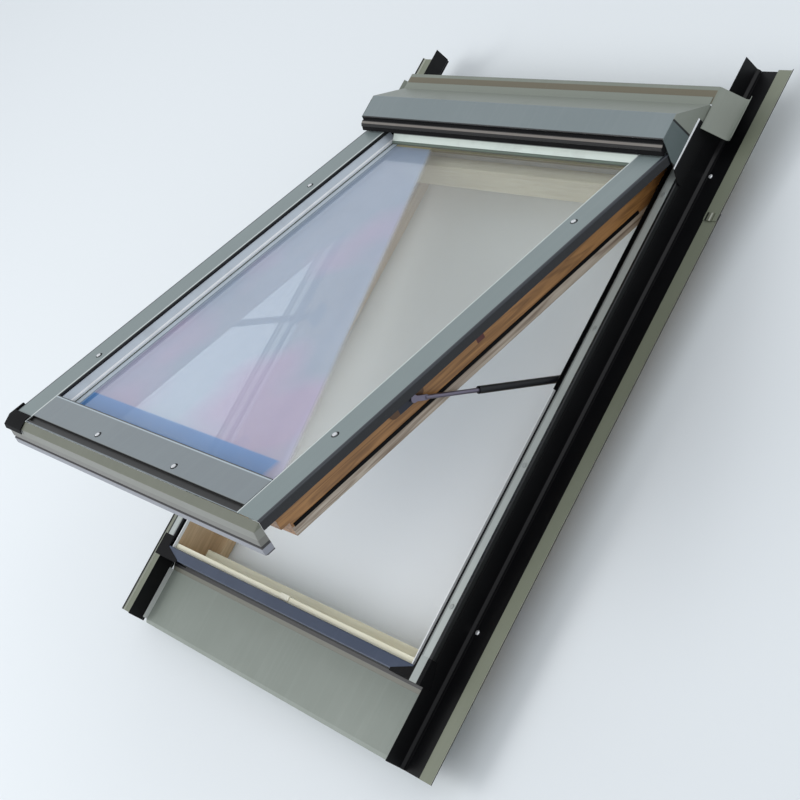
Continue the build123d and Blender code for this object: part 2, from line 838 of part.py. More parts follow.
# Plates that close the ends of the nose
with BuildPart() as nose_end:
    with BuildSketch(across(sash, nose_half)) as end:
        outline(*nose_points, (-side_cover_end, nose_points[-1][1]))
    extrude(amount=nose_end_thickness)
save_both(nose_end, "nose_ends")

# Plug on the left corner: a cheek outside, and a plate that laps the cover and the nose
plug_reach = 6
plug_length = 30
plug_lap = 12
plug_width = 56
plug_wall = 1.5
plug_bottom = cover_skirt_bottom + 1
plug_tip_d = side_cover_end + nose_facets[1][0] + 2 * plug_wall
plug_top = cover_top + setting_gap
nose_edge_h = nose_top + nose_facets[1][1]
with BuildPart() as corner_plug:
    with BuildSketch(across(sash, -cover_half - plug_reach)) as cheek:
        outline(
            (-side_cover_end + plug_length, plug_top + plug_wall),
            (-side_cover_end, plug_top + plug_wall),
            (-plug_tip_d, nose_edge_h + plug_wall),
            (-plug_tip_d - plug_wall, plug_bottom),
            (-side_cover_end + plug_length, plug_bottom),
        )
    extrude(amount=plug_reach - setting_gap)
    fillet(corner_plug.faces().sort_by(Axis.X)[0].edges(), 1)
    with BuildSketch(across(sash, -cover_half - setting_gap)) as plate:
        outline(
            (-side_cover_end + plug_lap, plug_top),
            (-side_cover_end + plug_lap, plug_top + plug_wall),
            (-side_cover_end, plug_top + plug_wall),
            (-plug_tip_d, nose_edge_h + plug_wall),
            (-plug_tip_d - plug_wall, plug_bottom),
            (-plug_tip_d, plug_bottom),
            (-plug_tip_d + plug_wall, nose_edge_h + setting_gap),
            (-side_cover_end, plug_top),
        )
    extrude(amount=plug_width)
save(corner_plug, "corner_plug")

with BuildPart() as cover_screws:
    with BuildSketch(level(sash, cover_top)) as heads:
        with Locations(*side_screws, *bottom_screws):
            Circle(screw_head_radius)
    extrude(amount=screw_head_height)
    with BuildSketch(level(sash, cover_top)) as shanks:
        with Locations(*side_screws, *bottom_screws):
            Circle(screw_shank_radius)
    extrude(amount=-screw_shank_length)
save(cover_screws, "cover_screws")

# Seals round the sash, on its outer sides
seal_h = -45
seal_height = 6
seal_thickness = 1
with BuildPart() as sash_seal:
    with BuildSketch(along(sash, -2 * sash_plate_length)) as strip:
        with Locations((sash_half + seal_thickness / 2, seal_h)):
            Rectangle(seal_thickness, seal_height)
    extrude(amount=step_end_d - 2 * sash_plate_length - 4)
save_both(sash_seal, "sash_seals")

# Lock: base plate, lever handle and sliding tongue
base_length = 110
base_width = 30
base_height = 8
with BuildPart() as handle_base:
    with BuildSketch(level(sash, sash_timber_bottom)) as plate:
        with Locations((0, -handle_d)):
            SlotOverall(base_length, base_width)
    extrude(amount=-base_height)
    fillet(handle_base.faces().sort_by(out_of_sash)[0].edges(), 2)
save(handle_base, "handle_base")

lever_thickness = 10
lever_neck = 8
with BuildPart() as lock_handle:
    neck_top = sash_timber_bottom - base_height - setting_gap
    with BuildSketch(level(sash, neck_top)) as neck:
        with Locations((0, -handle_d)):
            Circle(lever_neck)
    extrude(amount=-lever_neck)
    with BuildSketch(level(sash, neck_top - lever_neck)) as lever:
        with Locations((0, -handle_d + handle_length / 2 - lever_neck)):
            SlotOverall(handle_length, 2 * lever_neck, rotation=90)
    extrude(amount=-lever_thickness)
    fillet(lock_handle.faces().sort_by(out_of_sash)[0].edges(), 3)
save(lock_handle, "lock_handle")

with BuildPart() as lock_tongue:
    with BuildSketch(level(sash, tongue_h - tongue_thickness / 2)) as bar:
        with Locations((0, -step_end_d + tongue_slot_length / 2 - tongue_travel / 2 + 0.5)):
            Rectangle(tongue_width, tongue_slot_length - tongue_travel - 1)
    extrude(amount=tongue_thickness)
save(lock_tongue, "lock_tongue")

# Side gutters of the flashing
gutter_wall = half_width + gutter_gap
flange_x = gutter_wall + gutter_width
gutter_low_y = -apron_drop
gutter_length = gutter_end - gutter_low_y
with BuildPart() as side_gutter:
    with BuildSketch(along(roof, gutter_end)) as section:
        folded(
            (gutter_wall, gutter_top),
            (gutter_wall, gutter_floor + gutter_bead),
            (gutter_wall + gutter_bead / 2, gutter_floor + gutter_bead / 2),
            (gutter_wall + gutter_bead / 2, gutter_floor),
            (flange_x, gutter_floor),
            (flange_x, gutter_floor + flange_rise),
            side=Side.LEFT,
        )
    extrude(amount=gutter_length)
save_pair(side_gutter, "side_gutter")

flange_z = gutter_floor + flange_rise
flange_lift = 1.5 * sheet_thickness
for name, low, high, lift in (
    ("lower_flange", gutter_low_y, flange_joint_y, 0),
    ("upper_flange", flange_joint_y - flange_lap, gutter_end, flange_lift),
):
    with BuildPart() as flange:
        with BuildSketch(along(roof, high)) as section:
            folded(
                (flange_x - 2, flange_z + lift + sheet_thickness),
                (flange_x + flange_width - flange_hem, flange_z + lift + sheet_thickness),
                (flange_x + flange_width, flange_z + lift + flange_hem),
            )
        extrude(amount=high - low)
    save_pair(flange, name)

clip_size = 14
with BuildPart() as flange_clips:
    for side_sign in (-1, 1):
        with BuildSketch(level(roof, flange_z + flange_lift + sheet_thickness)) as clip:
            with Locations((side_sign * (flange_x + 10), flange_joint_y - flange_lap / 2)):
                Rectangle(clip_size, clip_size)
        extrude(amount=2 * sheet_thickness)
save(flange_clips, "flange_clips")

# Apron below the window
apron_half = half_width - apron_side_inset
with BuildPart() as apron:
    with BuildSketch(across(roof, -apron_half)) as section:
        folded(
            (0, -bottom_cover_skirt + apron_upstand_lap),
            (0, gutter_floor + apron_hem),
            (-apron_step, gutter_floor),
            (-apron_drop + apron_hem, gutter_floor),
            (-apron_drop, gutter_floor - apron_hem / 2),
        )
    extrude(amount=2 * apron_half)
    for side_x in (-apron_half, apron_half - sheet_thickness):
        with BuildSketch(across(roof, side_x)) as upstand:
            outline(
                (-apron_step, gutter_floor),
                (-apron_step, gutter_floor + apron_side_rise),
                (-apron_drop + apron_hem, gutter_floor + apron_side_rise),
                (-apron_drop + apron_hem, gutter_floor),
            )
        extrude(amount=sheet_thickness)
save(apron, "apron")

# Head flashing above the window, with a valley at each end
valley_x = flange_x - 8
valley_z = -24
valley_rise = 14
head_flat_half = half_width + 4
head_wing_y = window_length - head_wing_start
with BuildPart() as head_flashing:
    with BuildSketch(along(roof, head_sheet_end)) as section:
        folded(
            (0, hood_back_z),
            (head_flat_half, hood_back_z),
            (valley_x, valley_z),
            (flange_x + hood_back_z / 2, valley_z + valley_rise),
            bend=valley_bend,
        )
        mirror(about=Plane.YZ)
    extrude(amount=head_sheet_end - head_wing_y)
    with BuildSketch(level(roof, hood_back_z + 1)) as hood_room:
        outline(
            (-head_flat_half, head_wing_y - 1),
            (-head_flat_half, hood_back_y - flange_lap),
            (head_flat_half, hood_back_y - flange_lap),
            (head_flat_half, head_wing_y - 1),
        )
    extrude(amount=valley_z, mode=Mode.SUBTRACT)
save(head_flashing, "head_flashing")

# Hood that covers the hinges
hood_half = cover_half + hood_end_gap + hood_end_thickness
hood_inner = hood_half - hood_end_thickness
with BuildPart() as hood_top:
    with BuildSketch(across(roof, -hood_inner)) as section:
        folded(
            (hood_front_y, hood_top_z - hood_front_lip),
            (hood_front_y, hood_top_z),
            (hood_front_y + hood_flat, hood_top_z),
            (hood_back_y - hood_foot, hood_back_z + cover_thickness),
            (hood_back_y, hood_back_z + cover_thickness),
            thickness=cover_thickness,
            bend=cover_bend,
        )
    extrude(amount=2 * hood_inner)
save(hood_top, "hood_top")

# Rubber seal under the front of the hood, as reach forward and drop, and the strip let into it
seal_top_z = hood_top_z - hood_seal_drop
seal_slope = ((0, 0), (5, 1.25), (12, 3), (15, 6), (17, 8))
seal_points = [(hood_front_y - reach, seal_top_z - drop) for reach, drop in seal_slope]
lip_front = hood_front_y - hood_lip_forward
with BuildPart() as hood_seal:
    with BuildSketch(across(roof, -hood_inner)) as section:
        outline(
            *seal_points,
            (lip_front, seal_top_z - 12),
            (lip_front + 3, seal_top_z - 14),
            (hood_front_y, seal_top_z - 10),
        )
    extrude(amount=2 * hood_inner)
save(hood_seal, "hood_seal")

with BuildPart() as hood_front_strip:
    with BuildSketch(across(roof, -hood_inner)) as section:
        pressed(*seal_points[1:4], thickness=cover_thickness)
    extrude(amount=2 * hood_inner)
save(hood_front_strip, "hood_front_strip")

hood_end_front = lip_front - 3
hood_end_slope = 47
with BuildPart() as hood_end:
    with BuildSketch(across(roof, hood_inner)) as plate:
        outline(
            (hood_front_y, hood_top_z),
            (hood_front_y + hood_flat, hood_top_z),
            (hood_back_y - hood_foot, hood_back_z + cover_thickness),
            (hood_back_y - hood_foot, gutter_top + setting_gap),
            (hood_end_front, gutter_top + setting_gap),
            (hood_end_front, hood_top_z - hood_end_slope),
        )
    extrude(amount=hood_end_thickness)
save_pair(hood_end, "hood_end")

# Wings that stand outside the ends of the hood, over the gutters
wing_x = hood_half + setting_gap
with BuildPart() as hood_wing:
    with BuildSketch(across(roof, wing_x)) as plate:
        outline(
            (hood_end_front, wing_top_z),
            (hood_end_front + wing_length, wing_top_z + sheet_thickness),
            (hood_end_front + wing_length, gutter_top + setting_gap),
            (hood_end_front - hood_foot, gutter_top + setting_gap),
            (hood_end_front - hood_foot, 0),
        )
    extrude(amount=wing_thickness)
save_both(hood_wing, "hood_wings")

# Brackets that fix the frame to the roof battens
bracket_leg = 30
bracket_end = bracket_hole_x + bracket_hole_edge
bracket_leg_low = bracket_seat - bracket_leg
with BuildPart() as roof_brackets:
    for side_sign in (-1, 1):
        for y in (bracket_y_low, window_length - bracket_from_head):
            with BuildSketch(along(roof, y + bracket_width / 2)) as section:
                outline(
                    (side_sign * timber_half, bracket_seat),
                    (side_sign * bracket_end, bracket_seat),
                    (side_sign * bracket_end, bracket_seat - bracket_thickness),
                    (side_sign * (timber_half + bracket_thickness), bracket_seat - bracket_thickness),
                    (side_sign * (timber_half + bracket_thickness), bracket_leg_low),
                    (side_sign * timber_half, bracket_leg_low),
                )
            extrude(amount=bracket_width)
            with BuildSketch(level(roof, bracket_seat)) as hole:
                with Locations((side_sign * bracket_hole_x, y)):
                    Circle(bracket_hole_radius)
            extrude(amount=-bracket_thickness, mode=Mode.SUBTRACT)
save(roof_brackets, "roof_brackets")

closed_eye_y = hinge_y - stay_sash_d
closed_eye_z = hinge_z + stay_sash_h
closed_length = hypot(closed_eye_y - stay_frame_y, closed_eye_z - stay_frame_z)
closed_angle = degrees(atan2(closed_eye_z - stay_frame_z, closed_eye_y - stay_frame_y))
swing = (closed_angle - degrees(stay_angle)) % 360
print("y of the frame's lower edge", -y_middle)
print("hinge axis", sash.origin)
print("stay foot", stay_start, "direction", stay_dir)
print("stay swing, degrees", round(swing, 4), "travel, mm", round(stay_length - closed_length, 4))
print("coupling ratios", round(swing / opening_angle, 6), round((stay_length - closed_length) / 1000 / tilt, 6))
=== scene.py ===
# %% [markdown]
# # A roof window, dressed for its portrait
#
# The solids of this window come from a construction model: timber, folded sheet, glass and the
# stays that hold the sash open. This lesson gives every piece its finish, adds the small things
# that a construction model leaves out, and then sets up floor, lamps and camera. Everything is
# in metres, and the part keeps the frame that it was built in: X to the right, Y up towards the
# hinges and Z out of the window.

# %% Load the frame
import json
import math
import bmesh
import bpy
from mathutils import Matrix, Vector


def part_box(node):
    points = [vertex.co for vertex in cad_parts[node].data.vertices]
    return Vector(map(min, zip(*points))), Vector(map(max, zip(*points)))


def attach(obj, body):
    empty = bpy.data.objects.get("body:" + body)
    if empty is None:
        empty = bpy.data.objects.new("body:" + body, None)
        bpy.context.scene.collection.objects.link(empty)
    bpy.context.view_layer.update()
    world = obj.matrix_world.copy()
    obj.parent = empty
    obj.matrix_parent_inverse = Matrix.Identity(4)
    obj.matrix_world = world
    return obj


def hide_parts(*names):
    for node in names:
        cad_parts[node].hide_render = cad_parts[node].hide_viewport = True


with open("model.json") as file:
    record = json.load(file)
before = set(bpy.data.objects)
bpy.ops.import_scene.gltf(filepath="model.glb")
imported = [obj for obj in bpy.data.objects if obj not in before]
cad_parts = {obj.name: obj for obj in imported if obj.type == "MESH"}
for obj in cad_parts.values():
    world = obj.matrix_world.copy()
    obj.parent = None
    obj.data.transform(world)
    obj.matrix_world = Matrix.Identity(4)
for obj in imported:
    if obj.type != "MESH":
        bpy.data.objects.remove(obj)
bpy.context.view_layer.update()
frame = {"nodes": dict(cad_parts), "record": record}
record = frame["record"]
body_of = {node: body for body, nodes in record["behaviour"]["bodies"].items() for node in nodes}
slot_of = {row["node"]: row["material_slot"] for row in record["subparts"]}
MM = 0.001

# %% [markdown]
# ## Two sets of coordinates
#
# The sash leans, so it is easiest to think of it in its own directions: across the window, down
# the sash from the hinge line, and out of the sash. The lean could be typed in again, but the
# record holds it already: the window was built open, so the lower limit of its hinge is the turn
# that closes it. Read from there, the scene stays in step when the model changes.

# %% Lean of the sash and helpers for places on it
hinge = next(joint for joint in record["behaviour"]["joints"] if joint["name"] == "sash_hinge")
LEAN = math.radians(-hinge["range_deg"][0])
HINGE = Vector(hinge["pos_m"])
DOWN = Vector((0, -math.cos(LEAN), math.sin(LEAN)))
OUT = Vector((0, math.sin(LEAN), math.cos(LEAN)))


def on_sash(x, down, out):
    """A point of the sash in the frame's coordinates, from sizes in metres"""
    return Vector((x, HINGE.y, HINGE.z)) + DOWN * down + OUT * out


def read_sash(point):
    """The same the other way round: across, down the sash and out of it"""
    away = Vector(point) - Vector((0, HINGE.y, HINGE.z))
    return Vector((away.x, away.dot(DOWN), away.dot(OUT)))


print("lean of the sash in degrees:", round(math.degrees(LEAN), 2))

# %% [markdown]
# ## Shader maths that reads like maths
#
# A node tree is easier to read as an expression. The class below wraps one output socket. Its
# operators add a Math node and return the new output, also when the number stands on the left,
# so that `1 - mask` works. Colours go through a Mix node, because a Math node turns them grey.

# %% A socket with operators
class Wire:
    """One output socket, with operators that add Math nodes"""

    def __init__(self, tree, socket):
        self.tree = tree
        self.socket = socket

    def __add__(self, other):
        return maths("ADD", self, other)

    def __radd__(self, other):
        return maths("ADD", other, self)

    def __sub__(self, other):
        return maths("SUBTRACT", self, other)

    def __rsub__(self, other):
        return maths("SUBTRACT", other, self)

    def __mul__(self, other):
        return maths("MULTIPLY", self, other)

    def __rmul__(self, other):
        return maths("MULTIPLY", other, self)

    def __pow__(self, other):
        return maths("POWER", self, other)

    def __abs__(self):
        return maths("ABSOLUTE", self)

    def sine(self):
        return maths("SINE", self)

    def clamp(self):
        """Kept between 0 and 1"""
        return maths("MINIMUM", maths("MAXIMUM", self, 0.0), 1.0)


def maths(operation, *values):
    """A Math node in the tree of the first wire among the values"""
    tree = next(value.tree for value in values if isinstance(value, Wire))
    node = tree.nodes.new("ShaderNodeMath")
    node.operation = operation
    for slot, value in zip(node.inputs, values):
        plug(tree, slot, value)
    return Wire(tree, node.outputs[0])


def plug(tree, slot, value):
    """Link a wire to a socket, or set the socket's own value"""
    if isinstance(value, Wire):
        tree.links.new(value.socket, slot)
    else:
        slot.default_value = value


print("operators ready")

# %% [markdown]
# ## A small maker of materials
#
# Each finish is one Principled shader with a few patterns in front of it. `node` adds any other
# node: its settings are set first and its sockets after that. `mix` blends two colours by a
# mask, and `feed` links or sets the shader's own sockets. What is the same all over the surface
# is set on the shader's socket itself, so that an export keeps it. A Mix node has sockets of the
# same names for numbers, vectors and colours, so its colour sockets are picked by their number.
# Every finish goes into a list, so that a cell can say how many there are.

# %% Finish, the maker of materials
NOISE_ROUGHNESS = 0.55
MIX_MASK, MIX_FIRST, MIX_SECOND, MIX_COLOUR = 0, 6, 7, 2
finishes = []


class Finish:
    """A material with a Principled shader"""

    def __init__(self, name, **constants):
        self.material = bpy.data.materials.new(name)
        self.material.use_nodes = True
        self.tree = self.material.node_tree
        self.shader = self.tree.nodes["Principled BSDF"]
        self.feed(**constants)
        finishes.append(self.material)

    def feed(self, **values):
        for name, value in values.items():
            plug(self.tree, self.shader.inputs[name.replace("_", " ")], value)

    def node(self, kind, settings=None, sockets=None, out=0):
        made = self.tree.nodes.new(kind)
        for name, value in (settings or {}).items():
            setattr(made, name, value)
        for name, value in (sockets or {}).items():
            plug(self.tree, made.inputs[name], value)
        return Wire(self.tree, made.outputs[out])

    def place(self, leaning, scale=(1, 1, 1)):
        """Object coordinates, turned level with the sash where the piece leans, and then scaled"""
        spot = self.node("ShaderNodeTexCoord", out="Object")
        turn = (LEAN if leaning else 0, 0, 0)
        turned = self.node("ShaderNodeMapping", sockets={"Vector": spot, "Rotation": turn})
        return self.node("ShaderNodeMapping", sockets={"Vector": turned, "Scale": scale})

    def noise(self, where, scale, detail=4.0, distortion=0.0):
        sockets = {"Vector": where, "Scale": scale, "Detail": detail, "Distortion": distortion}
        return self.node("ShaderNodeTexNoise", sockets={**sockets, "Roughness": NOISE_ROUGHNESS})

    def ramp(self, value, low, high):
        """0 below low, 1 above high, and a straight line between"""
        sockets = {"Value": value, "From Min": low, "From Max": high, "To Min": 0.0, "To Max": 1.0}
        return self.node("ShaderNodeMapRange", sockets=sockets)

    def mix(self, mask, first, second):
        sockets = {MIX_MASK: mask, MIX_FIRST: first, MIX_SECOND: second}
        return self.node("ShaderNodeMix", settings={"data_type": "RGBA"}, sockets=sockets, out=MIX_COLOUR)

    def bump(self, height, strength, distance):
        sockets = {"Height": height, "Strength": strength, "Distance": distance}
        self.feed(Normal=self.node("ShaderNodeBump", sockets=sockets))


print("maker of materials ready")

# %% [markdown]
# ## Colours from a paint chart
#
# Blender's colours are amounts of light, and half of the light looks much brighter than half way
# to the eye. A paint chart counts from 0 to 255 in steps that look even. The curve between the
# two is the one that screens use, so a colour can be read off a chart and written as it stands.

# %% Chart colours as linear light
def srgb(red, green, blue):
    """A colour as a paint chart gives it, from 0 to 255, as linear light"""
    def linear(value):
        value /= 255
        return value / 12.92 if value <= 0.04045 else ((value + 0.055) / 1.055) ** 2.4
    return (linear(red), linear(green), linear(blue), 1.0)


BLACK = srgb(7, 7, 9)
print("mid grey in linear light:", round(srgb(128, 128, 128)[0], 3))

# %% [markdown]
# ## A second colour in a named place
#
# Folded sheet has one colour, and yet a bend, a hem or a wall that faces away reads as a dark or
# a bright line. Such lines could be other materials on picked faces, but a solid that changes
# then loses them. Here the material asks where a point lies, in millimetres: `across` the
# window, `along` it and `out` of it, and on the sash down it and out of it from the hinge. A
# mask that is 1 between two places paints the zone. `side` is the distance from the middle, so
# that one zone serves the left and the right.

# %% Zones of colour
def axes(finish, leaning):
    """Across, along and out as wires"""
    split = finish.node("ShaderNodeSeparateXYZ", sockets={"Vector": finish.place(leaning)})
    across, along, out = (Wire(finish.tree, socket) for socket in split.socket.node.outputs)
    if leaning:
        return across, -DOWN.dot(HINGE) - along, out - OUT.dot(HINGE)
    return across, along, out


def band(finish, value, low, high, soft=0.4 * MM):
    """1 between two places and 0 outside them, with a short blend"""
    return finish.ramp(value, low - soft, low + soft) * finish.ramp(value, high + soft, high - soft)


def painted(finish, colour, zones, leaning):
    """A colour, with others in zones whose limits are given in millimetres"""
    across, along, out = axes(finish, leaning)
    places = {"across": across, "side": abs(across), "along": along, "out": out}
    for other, limits in zones:
        mask = 1.0
        for name, (low, high) in limits.items():
            mask = band(finish, places[name], low * MM, high * MM) * mask
        colour = finish.mix(mask, colour, other)
    return colour


print("hinge line on the sash's own axes:", round(-DOWN.dot(HINGE), 4), round(OUT.dot(HINGE), 4))

# %% [markdown]
# ## Coated sheet metal
#
# All covers and flashing are thin aluminium sheet with a baked coating. Such a coating is nearly
# even. What makes it look real is a soft gloss that drifts from place to place, a very fine
# orange peel, faint streaks where rain ran down the slope, and thin clouds of pale dust. One
# function makes all of them, because they differ only in colour, gloss and how dusty they are.
# A noise's scale says about how often it repeats in a metre: 9 gives clouds as wide as a hand, and
# 420 gives a grain of two millimetres.

# %% Coated metal
CLOUDS, SPECKS, RIPPLE = 9.0, 420.0, 60.0
RAIN_RUNS = (90, 3, 30)


def coated_metal(name, colour, streak, gloss=0.38, dust=0.12, leaning=False, shine=0.5, zones=()):
    finish = Finish(name, IOR=1.5, Specular_IOR_Level=shine)
    flat = finish.place(leaning)
    clouds = finish.noise(flat, CLOUDS, detail=5.0)
    runs = finish.noise(finish.place(leaning, scale=RAIN_RUNS), 1.0, detail=3.0)
    speck = finish.noise(flat, SPECKS, detail=2.0)
    dirt = (finish.ramp(clouds, 0.42, 0.72) * 0.6 + finish.ramp(runs, 0.5, 0.8) * 0.5) * dust
    tone = painted(finish, finish.mix(dirt.clamp(), colour, streak), zones, leaning)
    tone = finish.mix(finish.ramp(speck, 0.55, 0.8) * 0.03, tone, streak)
    finish.feed(Base_Color=tone, Roughness=(gloss + clouds * 0.14 - runs * 0.06).clamp())
    finish.bump(speck * 0.5 + finish.noise(flat, RIPPLE) * 0.5, 0.12, 0.4 * MM)
    return finish.material


print("coated metal ready")

# %% [markdown]
# ## Covers of the sash
#
# Four grey covers are folded over the sash's timber. The long ones lie at the sides, with a
# painted highlight on the inner edge towards the glass, a wall below it painted black as shade,
# and a dark skirt that hangs outside from a bend, with the skirt and the bend painted dark as shade.
# The wide ones lie at the top and the bottom. The bottom one meets the glass in a painted shade line
# and a painted highlight. Its pressed groove carries rain to the sides, and is painted as a black
# shadow line with a painted highlight on its rim above it.

# %% Finishes of the sash covers
COVER_STREAK = srgb(166, 178, 178)
# Painted highlight on the inner edge; painted shade on the inner wall, the skirt and its bend
INNER_EDGE_HIGHLIGHT = {"side": (332, 335), "out": (27, 31)}
INNER_WALL_SHADE = {"side": (330, 332)}
OUTER_SKIRT_SHADE = {"side": (386.5, 400), "out": (0, 27)}
SKIRT_BEND_SHADE = {"side": (384, 400), "out": (26.5, 31)}
# Painted shadow in the groove with a painted highlight on its rim; at the glass a painted shade line and a
# painted highlight
GROOVE_SHADOW, GROOVE_RIM_HIGHLIGHT = {"along": (917, 931.5)}, {"along": (915.4, 917)}
GLASS_SHADE = {"along": (862, 865)}
GLASS_EDGE_HIGHLIGHT = {"along": (865, 867.2), "out": (27, 31)}
side_cover_metal = coated_metal(
    "side_cover_metal", srgb(125, 137, 137), COVER_STREAK, gloss=0.3, leaning=True,
    zones=[(srgb(205, 212, 210), INNER_EDGE_HIGHLIGHT), (BLACK, INNER_WALL_SHADE), (srgb(14, 15, 20), OUTER_SKIRT_SHADE),
           (srgb(46, 50, 56), SKIRT_BEND_SHADE)])
wide_cover_metal = coated_metal(
    "wide_cover_metal", srgb(124, 132, 136), COVER_STREAK, gloss=0.3, leaning=True,
    zones=[(srgb(14, 13, 11), GROOVE_SHADOW), (srgb(128, 136, 138), GROOVE_RIM_HIGHLIGHT), (srgb(60, 66, 70), GLASS_SHADE),
           (srgb(176, 188, 194), GLASS_EDGE_HIGHLIGHT)])
print("finishes so far:", len(finishes))

# %% [markdown]
# ## The folded nose
#
# Below the bottom cover hangs a nose of the same sheet, folded into facets that throw the rain
# clear of the frame. Each facet turns another way and so mirrors another part of the sky. Lamps
# alone don't give that, because they are plain here, so each facet gets its own tone by its
# height on the sash, a painted reflection of the sky. The crease between the middle and the lower
# facet and the drip edge at the bottom are darkened as painted shade.

# %% Finish of the nose
# Facet tones are painted reflection of the sky; the crease and the drip edge are painted shade
UPPER_FACET_REFLECTION, MIDDLE_FACET_REFLECTION, NOSE_CREASE_SHADE = {"out": (7, 21)}, {"out": (-3, 7)}, {"out": (-7.5, -3)}
LOWER_FACET_REFLECTION, DRIP_EDGE_SHADE = {"out": (-18, -7.5)}, {"out": (-30, -18)}
nose_metal = coated_metal(
    "nose_metal", srgb(104, 107, 94), srgb(150, 152, 140), gloss=0.34, leaning=True,
    zones=[(srgb(126, 127, 120), UPPER_FACET_REFLECTION), (srgb(112, 111, 106), MIDDLE_FACET_REFLECTION),
           (srgb(48, 46, 48), NOSE_CREASE_SHADE), (srgb(136, 138, 146), LOWER_FACET_REFLECTION),
           (srgb(76, 72, 80), DRIP_EDGE_SHADE)])
print("finishes so far:", len(finishes))

# %% [markdown]
# ## Covers, seals and caps of the frame
#
# The fixed frame has a pale cover on each side, a blue grey one at the bottom whose blue is partly
# painted reflection of the sky, black rubber in the channels under the sash, and black caps on its
# lower corners. The pale cover is darkened at both of its bends and painted black where it turns
# down, all as painted shade, and the bottom cover's walls are painted black as shade too. The lip
# of the rubber is painted near white in the lower half of the window, and the right cap carries a
# strip in the pale cover's colour.

# %% Finishes of the frame's covers, seals and caps
PALE_COVER, RUBBER_STREAK = srgb(180, 187, 184), srgb(60, 62, 66)
# Painted shade: the jamb cover's walls are black and its bends dark; the sill cover's walls are black
JAMB_WALLS_SHADE = {"out": (0, 96.4)}
JAMB_INNER_BEND_SHADE = {"side": (363, 368), "out": (90, 100)}
JAMB_LINE = {"side": (368, 371), "out": (96.4, 100)}
JAMB_OUTER_BEND_SHADE = {"side": (384.5, 392), "out": (90, 100)}
# The rubber's lip is painted near white in the lower half of the window
PALE_LIP_BAND = {"side": (350, 356.4), "along": (-470, 0)}
CAP_STRIP = {"across": (368, 384.5), "out": (98.2, 99)}
SILL_WALLS_SHADE = {"out": (0, 96.0)}
jamb_metal = coated_metal(
    "jamb_cover_metal", PALE_COVER, srgb(184, 190, 186), gloss=0.34,
    zones=[(BLACK, JAMB_WALLS_SHADE), (srgb(8, 9, 20), JAMB_INNER_BEND_SHADE), (srgb(150, 156, 153), JAMB_LINE),
           (srgb(20, 22, 24), JAMB_OUTER_BEND_SHADE)])
gasket_rubber = coated_metal(
    "gasket_rubber", BLACK, RUBBER_STREAK, gloss=0.5, dust=0.02, shine=0.15,
    zones=[(srgb(236, 239, 240), PALE_LIP_BAND)])
cap_plastic = coated_metal(
    "cap_plastic", BLACK, RUBBER_STREAK, gloss=0.5, dust=0.02, shine=0.12, zones=[(PALE_COVER, CAP_STRIP)])
# The sill cover's blue is partly painted reflection of the sky
sill_metal = coated_metal(
    "sill_cover_metal", srgb(54, 66, 88), srgb(112, 124, 146), gloss=0.3, zones=[(BLACK, SILL_WALLS_SHADE)])
print("finishes so far:", len(finishes))

# %% [markdown]
# ## Gutters, flanges and apron
#
# The flashing leads water round the window. The gutters beside the frame are black, and so are
# the wings at the ends of the hood, whose top edge carries a painted highlight. The flat flanges
# outside the gutters are olive with a dark hem, darkened further as painted shade and with a
# painted highlight along its fold, and clips hold their joints. The apron below the window is grey
# green. Where it turns up against the sill it is painted near black and then browner as painted
# shadow under the sill, and its folded sides carry painted highlights.

# %% Finishes of the side and lower flashing
# Painted highlight on the wings' top edge
WING_EDGE_HIGHLIGHT = {"out": (117.2, 122)}
# Painted shade on the flanges' hem and a painted highlight along its fold
FLANGE_HEM_SHADE, HEM_HIGHLIGHT = {"side": (462.8, 470)}, {"side": (460, 462.8)}
CLIP_SHADE, CLIP_SHINE = {"side": (430, 442)}, {"side": (446.5, 450)}
# Painted shadow under the sill on the apron's upstand and step; painted highlights on its folds
APRON_UPSTAND_SHADOW, APRON_STEP_SHADE = {"along": (-491.5, -483)}, {"along": (-498.5, -491.5)}
APRON_FOLD_HIGHLIGHT = {"side": (387.3, 392)}
black_metal = coated_metal("gutter_black", BLACK, RUBBER_STREAK, gloss=0.4, dust=0.03, shine=0.25)
wing_metal = coated_metal(
    "wing_black", BLACK, RUBBER_STREAK, gloss=0.4, dust=0.03, shine=0.25,
    zones=[(srgb(236, 238, 240), WING_EDGE_HIGHLIGHT)])
olive_metal = coated_metal(
    "flange_olive", srgb(122, 127, 110), srgb(160, 164, 150), gloss=0.4,
    zones=[(srgb(30, 31, 28), FLANGE_HEM_SHADE), (srgb(166, 170, 156), HEM_HIGHLIGHT)])
clip_metal = coated_metal(
    "clip_metal", srgb(104, 108, 92), srgb(150, 152, 140), gloss=0.4,
    zones=[(srgb(14, 15, 13), CLIP_SHADE), (srgb(178, 180, 168), CLIP_SHINE)])
apron_paint = coated_metal(
    "apron_grey_green", srgb(134, 142, 134), srgb(172, 177, 172), gloss=0.42, dust=0.2,
    zones=[(srgb(22, 20, 22), APRON_UPSTAND_SHADOW), (srgb(108, 108, 97), APRON_STEP_SHADE),
           (srgb(208, 212, 208), APRON_FOLD_HIGHLIGHT)])
print("finishes so far:", len(finishes))

# %% [markdown]
# ## Hood and head
#
# The hood is a long folded sheet over the hinges, blue grey on top and olive on its back slope,
# with painted shade along its front edge. Its front strip is black with one warm grey line left in
# the middle, and the black along its top is painted shadow. Its end plates are painted darker than
# the top as shade, with painted shade along their fold. Behind it the head sheet has a valley,
# which is painted browner and darker.

# %% Finishes of the hood and the head sheet
OLIVE_GREY = srgb(126, 132, 122)
